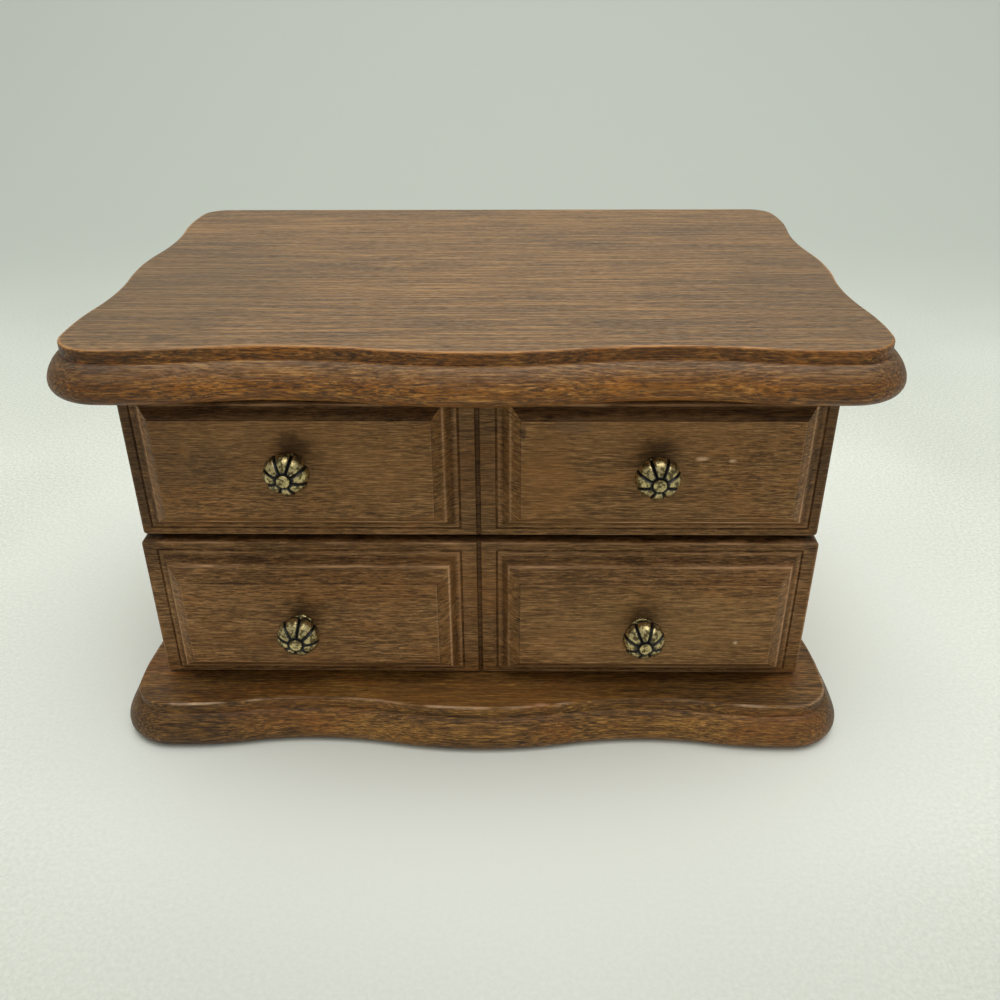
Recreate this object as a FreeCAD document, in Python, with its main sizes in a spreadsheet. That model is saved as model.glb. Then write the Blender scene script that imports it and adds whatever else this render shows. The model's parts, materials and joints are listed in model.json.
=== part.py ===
import FreeCAD, Part
import math
import os
import re
import Sketcher
from FreeCAD import Placement, Rotation, Vector

# A small two-drawer jewelry chest in walnut-coloured wood: a moulded serpentine top and base,
# a plain box between them and two full-width drawers with raised panels and melon knobs.
# Millimetres, +Z up, the drawers open towards -Y. The origin is on the floor under the middle.

os.makedirs("parts", exist_ok=True)
doc = FreeCAD.newDocument("jewelry_chest")

DRIVING_SIZES = {
    # top and base boards, which share one plan and one edge moulding
    "board_width": 280.0,
    "board_depth": 202.0,
    "board_thick": 17.5,
    "step_rise": 4.3,
    "nose_out": 5.6,
    "nose_upper_round": 5.4,
    "nose_lower_round": 4.0,
    "front_corner_round": 15.0,
    "back_corner_round": 10.5,
    "end_lobe_from_end": 20.4,
    "side_lobe_from_front": 24.5,
    "side_lobe_from_back": 22.4,
    "front_lobe_depth": 5.9,
    "front_corner_back": 1.6,
    "side_lobe_depth": 2.6,
    "trough_from_middle": 64.0,
    # box between the boards
    "end_overhang": 18.5,
    "carcass_back_inset": 11.0,
    "side_thick": 9.0,
    "divider_thick": 6.0,
    "divider_housing": 3.0,
    "back_thick": 5.0,
    "back_rebate": 4.5,
    # drawer fronts
    "front_setback": 28.8,
    "front_thick": 11.0,
    "upper_front_overlap": 2.5,
    "lower_front_overlap": 3.0,
    "upper_front_height": 62.0,
    "lower_front_height": 60.4,
    "row_gap": 1.4,
    "foot_gap": 0.7,
    "head_gap": 0.5,
    "shut_clear": 0.3,
    "lower_ajar": 2.5,
    "drawer_corner_round": 1.5,
    "front_edge_round": 1.0,
    # raised panels, two on each front
    "upper_panel_side": 3.6,
    "lower_panel_side": 5.3,
    "upper_panel_foot": 2.9,
    "lower_panel_foot": 1.8,
    "upper_panel_head": 2.4,
    "lower_panel_head": 3.1,
    "panel_from_middle": 6.2,
    "quirk_width": 0.7,
    "quirk_depth": 0.6,
    "ridge_foot": 2.7,
    "upper_ridge_inset": 5.2,
    "lower_ridge_inset": 4.6,
    "ridge_rise": 4.0,
    "field_inset": 9.1,
    "upper_field_drop": 0.7,
    "lower_field_drop": 1.2,
    "field_rise": 8.0,
    "middle_groove_width": 1.8,
    "middle_groove_depth": 1.4,
    # drawer boxes behind the fronts
    "box_back_gap": 8.2,
    "box_wall": 6.0,
    "box_floor": 3.0,
    "floor_rise": 4.0,
    "floor_housing": 3.0,
    "felt_thick": 1.0,
    "felt_margin": 0.5,
    "run_clear": 0.3,
    "side_clear": 0.7,
    "over_clear": 2.0,
    # knobs
    "knob_radius": 7.9,
    "knob_half_depth": 5.6,
    "knob_collar_radius": 4.2,
    "knob_collar_thick": 1.2,
    "knob_neck_radius": 3.0,
    "knob_middle": 8.2,
    "knob_button_radius": 2.4,
    "knob_button_rise": 0.7,
    "knob_flute_radius": 1.5,
    "knob_flute_bite": 0.7,
    "upper_left_knob_shift": 0.7,
    "upper_right_knob_shift": 2.0,
    "lower_left_knob_shift": 3.6,
    "lower_right_knob_shift": 2.0,
    "upper_left_knob_lift": 2.6,
    "upper_right_knob_lift": 1.3,
    "lower_left_knob_lift": 0.1,
    "lower_right_knob_lift": -1.0,
    "knob_screw_radius": 1.5,
    "knob_screw_head_radius": 3.2,
    "knob_screw_head_thick": 1.6,
    "knob_screw_grip": 6.0,
    "hole_clear": 0.1,
    # fixings of the boards and the back
    "base_screw_radius": 1.8,
    "base_screw_head_radius": 3.6,
    "base_screw_length": 32.0,
    "post_end_margin": 29.5,
    "dowel_radius": 3.0,
    "dowel_length": 18.0,
    "pin_radius": 0.6,
    "pin_head_radius": 1.2,
    "pin_head_thick": 0.5,
    "pin_length": 12.0,
    "pin_end_margin": 14.0,
    "pins_per_side": 4.0,
}

sizes = doc.addObject("Spreadsheet::Sheet", "sizes")
for row_number, (alias, number) in enumerate(DRIVING_SIZES.items(), start=1):
    sizes.set("A%d" % row_number, alias.replace("_", " "))
    sizes.set("B%d" % row_number, str(number))
    sizes.setAlias("B%d" % row_number, alias)
doc.recompute()

WORD = re.compile(r"[a-z]+(?:_[a-z]+)+")


def size(alias):
    """The number that the sheet holds for one driving size."""
    return float(sizes.get(alias))


def bind(thing, prop, formula):
    """Ties a property to a formula of driving sizes."""
    thing.setExpression(prop, WORD.sub(lambda word: "sizes." + word.group(), formula))


# widths shared by several pieces, written once
CARCASS_WIDTH = "(board_width - 2 * end_overhang)"
FRONT_HALF = {row: "(%s / 2 + %s_front_overlap)" % (CARCASS_WIDTH, row) for row in ("lower", "upper")}
# heights shared by several pieces
BODY_FOOT = "board_thick"
FRONT_FOOT = {
    "lower": "(board_thick + foot_gap)",
    "upper": "(board_thick + foot_gap + lower_front_height + row_gap)",
}
BODY_HEIGHT = "(foot_gap + lower_front_height + row_gap + upper_front_height + head_gap)"
DIVIDER_FOOT = "(board_thick + foot_gap + lower_front_height + (row_gap - divider_thick) / 2)"
DIVIDER_TOP = "(%s + divider_thick)" % DIVIDER_FOOT
# depths shared by several pieces, from front to back
FRONT_FACE = "(front_setback - board_depth / 2)"
CARCASS_FRONT = "(%s + front_thick + shut_clear)" % FRONT_FACE
CARCASS_BACK = "(board_depth / 2 - carcass_back_inset)"
CARCASS_DEPTH = "(%s - %s)" % (CARCASS_BACK, CARCASS_FRONT)
POSTS = ["(%s + post_end_margin)" % CARCASS_FRONT, "(%s - post_end_margin)" % CARCASS_BACK]
BOX_DEPTH = "(%s - back_thick - box_back_gap - %s - front_thick)" % (CARCASS_BACK, FRONT_FACE)
SIDE_MIDDLE = "(%s / 2 - side_thick / 2)" % CARCASS_WIDTH
INNER_HALF = "(%s / 2 - side_thick)" % CARCASS_WIDTH
BOX_HALF = "(%s - side_clear)" % INNER_HALF
BOX_FOOT = {
    "lower": "(board_thick + run_clear)",
    "upper": "(%s + run_clear)" % DIVIDER_TOP,
}
BOX_CEILING = {
    "lower": DIVIDER_FOOT,
    "upper": "(board_thick + %s)" % BODY_HEIGHT,
}
BOX_HEIGHT = {row: "(%s - over_clear - %s)" % (BOX_CEILING[row], BOX_FOOT[row]) for row in BOX_FOOT}
OUT = {"lower": "lower_ajar", "upper": "0"}
SIDES = {"left": -1, "right": 1}


def box(label, x, y, z, length, width, height):
    """A plain board from its lowest corner and its three sizes, each a formula."""
    board = doc.addObject("Part::Box", label)
    board.Label = label
    for prop, formula in (("Length", length), ("Width", width), ("Height", height)):
        bind(board, prop, formula)
    for axis, formula in zip("xyz", (x, y, z)):
        bind(board, "Placement.Base." + axis, formula)
    return board


def rod(label, x, y, z, radius, length, direction):
    """A cylinder from the middle of one end, along Z or along -Y."""
    cylinder = doc.addObject("Part::Cylinder", label)
    bind(cylinder, "Radius", radius)
    bind(cylinder, "Height", length)
    if direction == "-y":
        cylinder.Placement = Placement(Vector(), Rotation(Vector(1, 0, 0), 90))
    for axis, formula in zip("xyz", (x, y, z)):
        bind(cylinder, "Placement.Base." + axis, formula)
    return cylinder


def cut(label, base, tools):
    """The base with every tool taken away."""
    base.Label = label + " blank"
    joined = doc.addObject("Part::MultiFuse", label + "_cuts") if len(tools) > 1 else tools[0]
    if len(tools) > 1:
        joined.Shapes = tools
    result = doc.addObject("Part::Cut", label)
    result.Base = base
    result.Tool = joined
    result.Label = label
    return result


def new_body(label):
    body = doc.addObject("PartDesign::Body", label)
    body.Label = label
    body.AllowCompound = True
    return body


def origin_plane(body, role):
    return next(item for item in body.Origin.OriginFeatures if item.Role == role)


def new_sketch(body, role, label, lift="0"):
    """An empty sketch on one of the body's own planes, lifted along its normal by a formula."""
    sketch = body.newObject("Sketcher::SketchObject", label)
    sketch.AttachmentSupport = [(origin_plane(body, role), "")]
    sketch.MapMode = "FlatFace"
    if lift != "0":
        bind(sketch, "AttachmentOffset.Base.z", lift)
    return sketch


def add_rectangle(sketch, left, right, foot, head, guess):
    """Four lines whose sides are held at formulas; guess is (left, right, foot, head) in numbers."""
    x0, x1, y0, y1 = guess
    corners = [Vector(x0, y0, 0), Vector(x1, y0, 0), Vector(x1, y1, 0), Vector(x0, y1, 0)]
    first = sketch.GeometryCount
    for number, corner in enumerate(corners):
        sketch.addGeometry(Part.LineSegment(corner, corners[(number + 1) % 4]), False)
    for number in range(4):
        line, after = first + number, first + (number + 1) % 4
        sketch.addConstraint(Sketcher.Constraint("Coincident", line, 2, after, 1))
        sketch.addConstraint(Sketcher.Constraint("Horizontal" if number % 2 == 0 else "Vertical", line))
    held = (("DistanceX", first, 1, x0, left), ("DistanceX", first, 2, x1, right),
            ("DistanceY", first, 1, y0, foot), ("DistanceY", first + 2, 1, y1, head))
    for kind, line, end, number, formula in held:
        index = sketch.addConstraint(Sketcher.Constraint(kind, -1, 1, line, end, number))
        bind(sketch, "Constraints[%d]" % index, formula)


def add_circle(sketch, x, y, radius, guess):
    """A circle held at formulas; guess is (x, y, radius) in numbers."""
    circle = sketch.addGeometry(Part.Circle(Vector(guess[0], guess[1], 0), Vector(0, 0, 1), guess[2]), False)
    held = (("DistanceX", guess[0], x), ("DistanceY", guess[1], y))
    for kind, number, formula in held:
        index = sketch.addConstraint(Sketcher.Constraint(kind, -1, 1, circle, 3, number))
        bind(sketch, "Constraints[%d]" % index, formula)
    index = sketch.addConstraint(Sketcher.Constraint("Radius", circle, guess[2]))
    bind(sketch, "Constraints[%d]" % index, radius)


def pad(body, sketch, label, length, reversed_way=False):
    feature = body.newObject("PartDesign::Pad", label)
    feature.Profile = sketch
    feature.Reversed = reversed_way
    bind(feature, "Length", length)
    return feature


def pocket(body, sketch, label, length=None, reversed_way=False):
    """A pocket of the given depth, or right through when no depth is given."""
    feature = body.newObject("PartDesign::Pocket", label)
    feature.Profile = sketch
    feature.Reversed = reversed_way
    if length is None:
        feature.Type = "ThroughAll"
        feature.Midplane = True
    else:
        bind(feature, "Length", length)
    return feature


def edges_where(feature, test):
    """Names of the edges whose ends and middle all pass the test."""
    names = []
    for number, edge in enumerate(feature.Shape.Edges, start=1):
        points = [edge.valueAt(edge.FirstParameter + share * (edge.LastParameter - edge.FirstParameter))
                  for share in (0.0, 0.5, 1.0)]
        if all(test(point) for point in points):
            names.append("Edge%d" % number)
    return names


def fillet(body, label, radius, test):
    """Rounds every edge of the body's last feature that passes the test."""
    doc.recompute()
    last = body.Tip
    feature = body.newObject("PartDesign::Fillet", label)
    feature.Base = (last, edges_where(last, test))
    bind(feature, "Radius", radius)
    return feature


def near(a, b):
    return abs(a - b) < 0.01


def carcass_half():
    return size("board_width") / 2 - size("end_overhang")


def front_half(row):
    return carcass_half() + size(row + "_front_overlap")


# Serpentine outline of the boards

def lobe_radius(crest, trough, outward):
    along = trough - crest
    return along.Length ** 2 / (4 * abs(along.dot(outward)))


def ogee(crest, trough, outward):
    """Two equal arcs from a lobe's crest to the next hollow, as (centre, radius, convex, ends)."""
    radius = lobe_radius(crest, trough, outward)
    middle = (crest + trough) / 2
    return [(crest - outward * radius, radius, True, (crest, middle)),
            (trough + outward * radius, radius, False, (middle, trough))]


def reach_from(centre, radius, towards):
    """The point of a circle that lies towards another point."""
    along = towards - centre
    return centre + along * (radius / along.Length)


def corner_centre(first, first_reach, second, second_reach):
    """The point at the two given distances from two centres, on the side of the front right corner."""
    along = second - first
    share = (first_reach ** 2 - second_reach ** 2 + along.Length ** 2) / (2 * along.Length ** 2)
    foot = first + along * share
    rise = math.sqrt(first_reach ** 2 - (foot - first).Length ** 2)
    aside = Vector(-along.y, along.x, 0) / along.Length
    return max((foot + aside * rise, foot - aside * rise), key=lambda point: point.x - point.y)


def grown_arc(centre, radius, convex, ends, grow):
    """The arc moved outwards by grow, as sketch geometry."""
    new_radius = radius + grow if convex else radius - grow
    angles = [math.atan2(end.y - centre.y, end.x - centre.x) for end in ends]
    turn = (angles[1] - angles[0] + math.pi) % (2 * math.pi) - math.pi
    start = angles[0] if turn > 0 else angles[1]
    circle = Part.Circle(centre, Vector(0, 0, 1), new_radius)
    return Part.ArcOfCircle(circle, start, start + abs(turn))


def board_outline(grow):
    """The plan of the upright step of a board, grown by the given amount: lines and arcs."""
    half_width = size("board_width") / 2 - size("nose_out")
    half_depth = size("board_depth") / 2 - size("nose_out")
    front_round, back_round = size("front_corner_round"), size("back_corner_round")
    lobe, side_lobe = size("front_lobe_depth"), size("side_lobe_depth")
    corner_front = -half_depth + size("front_corner_back")
    front, aside = Vector(0, -1, 0), Vector(1, 0, 0)
    front_crest = Vector(0, -half_depth, 0)
    front_trough = Vector(size("trough_from_middle"), -half_depth + lobe, 0)
    front_lobe = Vector(half_width - size("end_lobe_from_end"), corner_front, 0)
    side_front = Vector(half_width, size("side_lobe_from_front") - half_depth, 0)
    side_back = Vector(half_width, half_depth - size("side_lobe_from_back"), 0)
    quarter = (side_back - side_front) / 4
    side_trough = side_front + quarter - aside * side_lobe
    side_middle = side_front + quarter * 2
    back_trough = side_front + quarter * 3 - aside * side_lobe
    end_radius = lobe_radius(front_lobe, front_trough, front)
    side_radius = lobe_radius(side_front, side_trough, aside)
    end_centre = front_lobe - front * end_radius
    side_centre = side_front - aside * side_radius
    back_centre = side_back - aside * side_radius
    front_turn = corner_centre(end_centre, end_radius - front_round, side_centre, side_radius - front_round)
    back_rise = half_depth - back_round - back_centre.y
    back_turn = Vector(back_centre.x + math.sqrt((side_radius - back_round) ** 2 - back_rise ** 2),
                       half_depth - back_round, 0)
    front_join = reach_from(end_centre, end_radius, front_turn)
    side_join = reach_from(side_centre, side_radius, front_turn)
    back_join = reach_from(back_centre, side_radius, back_turn)
    back_end = Vector(back_turn.x, half_depth, 0)
    pieces = []
    pieces += ogee(front_crest, front_trough, front)
    pieces += ogee(front_lobe, front_trough, front)
    pieces.append((end_centre, end_radius, True, (front_lobe, front_join)))
    pieces.append((front_turn, front_round, True, (front_join, side_join)))
    pieces.append((side_centre, side_radius, True, (side_join, side_front)))
    for crest, trough in ((side_front, side_trough), (side_middle, side_trough),
                          (side_middle, back_trough), (side_back, back_trough)):
        pieces += ogee(crest, trough, aside)
    pieces.append((back_centre, side_radius, True, (side_back, back_join)))
    pieces.append((back_turn, back_round, True, (back_join, back_end)))
    half = [grown_arc(*piece, grow) for piece in pieces]
    mirror = [grown_arc(Vector(-centre.x, centre.y, 0), radius, convex,
                        [Vector(-end.x, end.y, 0) for end in ends], grow)
              for centre, radius, convex, ends in pieces]
    back_line = Part.LineSegment(Vector(back_end.x, half_depth + grow, 0),
                                 Vector(-back_end.x, half_depth + grow, 0))
    return half + mirror + [back_line]


def moulded_board(label, foot, holes):
    """A board with the shared plan: a rounded nose below and a narrower upright step above it."""
    body = new_body(label)
    bind(body, "Placement.Base.z", foot)
    slab = new_sketch(body, "XY_Plane", label + "_slab_outline")
    slab.addGeometry(board_outline(size("nose_out")), False)
    pad(body, slab, label + "_slab", "board_thick - step_rise")
    slab_top = size("board_thick") - size("step_rise")
    fillet(body, label + "_upper_round", "nose_upper_round", lambda point: near(point.z, slab_top))
    fillet(body, label + "_lower_round", "nose_lower_round", lambda point: near(point.z, 0))
    step = new_sketch(body, "XY_Plane", label + "_step_outline", "board_thick - step_rise")
    step.addGeometry(board_outline(0), False)
    pad(body, step, label + "_step", "step_rise")
    doc.recompute()
    holes(body)
    return body


def four_posts(sketch, radius, number):
    """Circles over the middles of the two side boards, near their front and back ends."""
    middle = carcass_half() - size("side_thick") / 2
    front = (size("front_setback") - size("board_depth") / 2 + size("front_thick") + size("shut_clear")
             + size("post_end_margin"))
    back = size("board_depth") / 2 - size("carcass_back_inset") - size("post_end_margin")
    for sign in SIDES.values():
        for guess, place in zip((front, back), POSTS):
            add_circle(sketch, "%d * %s" % (sign, SIDE_MIDDLE), place, radius, (sign * middle, guess, number))


def base_screw_holes(body):
    sketch = new_sketch(body, "XY_Plane", "base_screw_hole_places")
    four_posts(sketch, "base_screw_radius + hole_clear", size("base_screw_radius"))
    pocket(body, sketch, "base_screw_holes")
    doc.recompute()
    wide = new_sketch(body, "XY_Plane", "base_screw_sink_places")
    four_posts(wide, "base_screw_head_radius + hole_clear", size("base_screw_head_radius"))
    pocket(body, wide, "base_screw_sinks", "base_screw_head_radius - base_screw_radius", True)


def dowel_holes(body):
    sketch = new_sketch(body, "XY_Plane", "dowel_hole_places")
    four_posts(sketch, "dowel_radius", size("dowel_radius"))
    pocket(body, sketch, "dowel_holes", "dowel_length / 2", True)


# Chest: boards, sides, divider and back

def chest_pieces():
    base = moulded_board("base_board", "0", base_screw_holes)
    top = moulded_board("top_board", "%s + %s" % (BODY_FOOT, BODY_HEIGHT), dowel_holes)
    return [base, top] + [side_board(name) for name in SIDES] + [divider(), back_panel()]


def pin_heights():
    """Heights of the back's pins, evenly spaced between the end margins."""
    count = int(size("pins_per_side"))
    return ["%s + pin_end_margin + %d * (%s - 2 * pin_end_margin) / (pins_per_side - 1)"
            % (BODY_FOOT, number, BODY_HEIGHT) for number in range(count)]


def side_board(name):
    sign = SIDES[name]
    label = "side_" + name
    outer = "-%s / 2" % CARCASS_WIDTH if sign < 0 else INNER_HALF
    board = box(label + "_blank", outer, CARCASS_FRONT, BODY_FOOT, "side_thick", CARCASS_DEPTH, BODY_HEIGHT)
    inner = "-%s" % INNER_HALF if sign < 0 else INNER_HALF
    housing = box(label + "_housing", inner + (" - divider_housing" if sign < 0 else ""),
                  CARCASS_FRONT, DIVIDER_FOOT, "divider_housing", CARCASS_DEPTH + " - back_thick",
                  "divider_thick")
    rebate = box(label + "_rebate", inner + (" - back_rebate" if sign < 0 else ""),
                 CARCASS_BACK + " - back_thick", BODY_FOOT, "back_rebate", "back_thick", BODY_HEIGHT)
    tools = [housing, rebate]
    middle = "%d * %s" % (sign, SIDE_MIDDLE)
    for number, place in enumerate(POSTS):
        tools.append(rod("%s_screw_hole_%d" % (label, number), middle, place, BODY_FOOT,
                         "base_screw_radius + hole_clear", "base_screw_length - board_thick", "z"))
        tools.append(rod("%s_dowel_hole_%d" % (label, number), middle, place,
                         "%s + %s - dowel_length / 2" % (BODY_FOOT, BODY_HEIGHT),
                         "dowel_radius", "dowel_length / 2", "z"))
    for number, height in enumerate(pin_heights()):
        tools.append(rod("%s_pin_hole_%d" % (label, number), pin_place(sign), CARCASS_BACK, height,
                         "pin_radius", "pin_length", "-y"))
    return cut(label, board, tools)


def pin_place(sign):
    return "%d * (%s + back_rebate / 2)" % (sign, INNER_HALF)


def divider():
    return box("drawer_divider", "-%s - divider_housing" % INNER_HALF, CARCASS_FRONT, DIVIDER_FOOT,
               "2 * (%s + divider_housing)" % INNER_HALF, CARCASS_DEPTH + " - back_thick", "divider_thick")


def back_panel():
    panel = box("back_panel_blank", "-%s - back_rebate" % INNER_HALF, CARCASS_BACK + " - back_thick",
                BODY_FOOT, "2 * (%s + back_rebate)" % INNER_HALF, "back_thick", BODY_HEIGHT)
    tools = []
    for sign in SIDES.values():
        for number, height in enumerate(pin_heights()):
            name = "back_pin_hole_%d_%d" % (sign, number)
            tools.append(rod(name, pin_place(sign), CARCASS_BACK, height, "pin_radius", "back_thick", "-y"))
    return cut("back_panel", panel, tools)


# Fixings

def group(label, members):
    compound = doc.addObject("Part::Compound", label)
    compound.Links = members
    compound.Label = label
    return compound


def fused(label, members):
    joined = doc.addObject("Part::MultiFuse", label)
    joined.Shapes = members
    return joined


def fixings():
    screws, dowels, pins = [], [], []
    for name, sign in SIDES.items():
        middle = "%d * %s" % (sign, SIDE_MIDDLE)
        for number, place in enumerate(POSTS):
            tag = "%s_%d" % (name, number)
            head = rod("base_screw_head_" + tag, middle, place, "0", "base_screw_head_radius",
                       "base_screw_head_radius - base_screw_radius", "z")
            shank = rod("base_screw_shank_" + tag, middle, place, "0", "base_screw_radius",
                        "base_screw_length", "z")
            screws.append(fused("base_screw_" + tag, [head, shank]))
            dowels.append(rod("dowel_" + tag, middle, place,
                              "%s + %s - dowel_length / 2" % (BODY_FOOT, BODY_HEIGHT),
                              "dowel_radius", "dowel_length", "z"))
        for number, height in enumerate(pin_heights()):
            tag = "%s_%d" % (name, number)
            head = rod("pin_head_" + tag, pin_place(sign), CARCASS_BACK + " + pin_head_thick", height,
                       "pin_head_radius", "pin_head_thick", "-y")
            shank = rod("pin_shank_" + tag, pin_place(sign), CARCASS_BACK, height,
                        "pin_radius", "pin_length", "-y")
            pins.append(fused("pin_" + tag, [head, shank]))
    return [group("base_screws", screws), group("top_dowels", dowels), group("back_pins", pins)]


# Drawers

def panel_corners(row, inset, sign, drop="0"):
    """Left, right, foot and head of one raised panel's outline at an inset, as formulas: drop lowers the head."""
    outer = "(%s - %s_panel_side - %s)" % (FRONT_HALF[row], row, inset)
    inner = "(panel_from_middle + %s)" % inset
    sides = (inner, outer) if sign > 0 else ("-" + outer, "-" + inner)
    foot = "%s_panel_foot + %s" % (row, inset)
    head = "%s_front_height - %s_panel_head - %s - %s" % (row, row, inset, drop)
    return sides + (foot, head)


def panel_numbers(row, inset, sign):
    """The same four places as numbers, to draw the sketch near its solution."""
    outer = front_half(row) - size(row + "_panel_side") - inset
    inner = size("panel_from_middle") + inset
    sides = (inner, outer) if sign > 0 else (-outer, -inner)
    foot = size(row + "_panel_foot") + inset
    head = size(row + "_front_height") - size(row + "_panel_head") - inset
    return sides + (foot, head)


def panel_sketch(body, row, label, lift, inset, sign, drop="0"):
    inset_number = size(inset) if inset != "0" else 0.0
    sketch = new_sketch(body, "XZ_Plane", label, lift)
    add_rectangle(sketch, *panel_corners(row, inset, sign, drop), panel_numbers(row, inset_number, sign))
    return sketch


def raised_panel(body, row, name, sign):
    """The quirk round one panel, its steep ridge, the slope above it and the flat field."""
    label = "%s_%s_panel" % (row, name)
    quirk = panel_sketch(body, row, label + "_quirk", "0", "0", sign)
    quirk_left, quirk_right, quirk_foot, quirk_head = panel_corners(row, "quirk_width", sign)
    add_rectangle(quirk, quirk_left, quirk_right, quirk_foot, quirk_head,
                  panel_numbers(row, size("quirk_width"), sign))
    pocket(body, quirk, label + "_quirk_cut", "quirk_depth")
    steps = [panel_sketch(body, row, label + "_ridge_foot", "0", "ridge_foot", sign),
             panel_sketch(body, row, label + "_ridge", "ridge_rise", row + "_ridge_inset", sign),
             panel_sketch(body, row, label + "_field", "field_rise", "field_inset", sign, row + "_field_drop")]
    loft = body.newObject("PartDesign::AdditiveLoft", label + "_slopes")
    loft.Profile = steps[0]
    loft.Sections = steps[1:]
    loft.Ruled = True
    doc.recompute()


def knob_place(row, name):
    """Across and up from the foot of the front: near the middle of the knob's own panel."""
    left, right, foot, head = panel_corners(row, "0", SIDES[name])
    return ("((%s + %s) / 2 - %s_%s_knob_shift)" % (left, right, row, name),
            "((%s + %s) / 2 + %s_%s_knob_lift)" % (foot, head, row, name))


def drawer_front(row):
    body = new_body(row + "_drawer_front")
    bind(body, "Placement.Base.y", "%s - %s" % (FRONT_FACE, OUT[row]))
    bind(body, "Placement.Base.z", FRONT_FOOT[row])
    half, height = front_half(row), size(row + "_front_height")
    blank = new_sketch(body, "XZ_Plane", row + "_front_outline")
    add_rectangle(blank, "-" + FRONT_HALF[row], FRONT_HALF[row], "0", "%s_front_height" % row,
                  (-half, half, 0, height))
    pad(body, blank, row + "_front_blank", "front_thick", True)
    fillet(body, row + "_front_corners", "drawer_corner_round",
           lambda point: near(abs(point.x), half) and (near(point.z, 0) or near(point.z, height)))
    fillet(body, row + "_front_edges", "front_edge_round", lambda point: near(point.y, 0))
    groove = new_sketch(body, "XZ_Plane", row + "_middle_groove_outline")
    add_rectangle(groove, "-middle_groove_width / 2", "middle_groove_width / 2", "-1",
                  "%s_front_height + 1" % row,
                  (-size("middle_groove_width") / 2, size("middle_groove_width") / 2, -1, height + 1))
    pocket(body, groove, row + "_middle_groove", "middle_groove_depth")
    for name, sign in SIDES.items():
        raised_panel(body, row, name, sign)
    holes = new_sketch(body, "XZ_Plane", row + "_knob_hole_places")
    for name, sign in SIDES.items():
        across, up = knob_place(row, name)
        add_circle(holes, across, up, "knob_screw_radius + hole_clear",
                   (sign * half / 2, height / 2, size("knob_screw_radius")))
    pocket(body, holes, row + "_knob_holes")
    floor_groove = new_sketch(body, "XZ_Plane", row + "_floor_groove_outline", "-front_thick")
    groove_foot = "%s - %s + floor_rise" % (BOX_FOOT[row], FRONT_FOOT[row])
    groove_half = "(%s - box_wall + floor_housing)" % BOX_HALF
    groove_guess = carcass_half() - size("side_thick")
    add_rectangle(floor_groove, "-" + groove_half, groove_half, groove_foot, groove_foot + " + box_floor",
                  (-groove_guess, groove_guess, size("floor_rise"), size("floor_rise") + size("box_floor")))
    pocket(body, floor_groove, row + "_floor_groove", "floor_housing", True)
    return body


def drawer_box(row):
    """Sides, back, floor and felt of one drawer, behind its front."""
    front_back = "(%s + front_thick - %s)" % (FRONT_FACE, OUT[row])
    foot, height = BOX_FOOT[row], BOX_HEIGHT[row]
    inner_half = "(%s - box_wall)" % BOX_HALF
    floor_foot = "%s + floor_rise" % foot
    pieces = []
    for name, sign in SIDES.items():
        label = "%s_drawer_side_%s" % (row, name)
        outer = "-" + BOX_HALF if sign < 0 else inner_half
        housing_x = "-%s - floor_housing" % inner_half if sign < 0 else inner_half
        wall = box(label + "_blank", outer, front_back, foot, "box_wall", BOX_DEPTH, height)
        housing = box(label + "_housing", housing_x, front_back, floor_foot, "floor_housing",
                      BOX_DEPTH + " - box_wall + floor_housing", "box_floor")
        pieces.append(cut(label, wall, [housing]))
    back_label = row + "_drawer_back"
    back_front = "(%s + %s - box_wall)" % (front_back, BOX_DEPTH)
    back = box(back_label + "_blank", "-" + inner_half, back_front, foot, "2 * " + inner_half, "box_wall",
               height)
    back_housing = box(back_label + "_housing", "-" + inner_half, back_front, floor_foot,
                       "2 * " + inner_half, "floor_housing", "box_floor")
    pieces.append(cut(back_label, back, [back_housing]))
    pieces.append(box(row + "_drawer_floor", "-%s - floor_housing" % inner_half,
                      front_back + " - floor_housing", floor_foot, "2 * (%s + floor_housing)" % inner_half,
                      BOX_DEPTH + " - box_wall + 2 * floor_housing", "box_floor"))
    pieces.append(box(row + "_drawer_felt", "-%s + felt_margin" % inner_half,
                      front_back + " + felt_margin", floor_foot + " + box_floor",
                      "2 * (%s - felt_margin)" % inner_half, BOX_DEPTH + " - box_wall - 2 * felt_margin",
                      "felt_thick"))
    return pieces


# Knobs

def knob_outline():
    """Half section of a knob, with X outwards and Y along its axis from the panel: lines and arcs."""
    collar, thick = size("knob_collar_radius"), size("knob_collar_thick")
    neck, hole = size("knob_neck_radius"), size("knob_screw_radius") + size("hole_clear")
    middle, reach, wide = size("knob_middle"), size("knob_half_depth"), size("knob_radius")
    button, rise = size("knob_button_radius"), size("knob_button_rise")
    grip = size("knob_screw_grip")

    def on_ball(radius, side):
        return Vector(radius, middle + side * reach * math.sqrt(1 - (radius / wide) ** 2), 0)

    neck_end, button_foot = on_ball(neck, -1), on_ball(button, 1)
    button_top = Vector(button, button_foot.y + rise, 0)
    axis_top = Vector(0, button_top.y, 0)
    corners = [axis_top, Vector(0, grip, 0), Vector(hole, grip, 0), Vector(hole, 0, 0),
               Vector(collar, 0, 0), Vector(collar, thick, 0), Vector(neck, thick, 0), neck_end]
    lines = [Part.LineSegment(corners[number], corners[number + 1]) for number in range(len(corners) - 1)]
    ball = Part.Ellipse(Vector(wide, middle, 0), Vector(0, middle + reach, 0), Vector(0, middle, 0))
    ends = sorted((ball.parameter(neck_end), ball.parameter(button_foot)))
    if ends[1] - ends[0] > math.pi:
        ends = [ends[1] - 2 * math.pi, ends[0]]
    curve = Part.ArcOfEllipse(ball, ends[0], ends[1])
    cap = [Part.LineSegment(button_foot, button_top), Part.LineSegment(button_top, axis_top)]
    return lines + [curve] + cap


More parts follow.
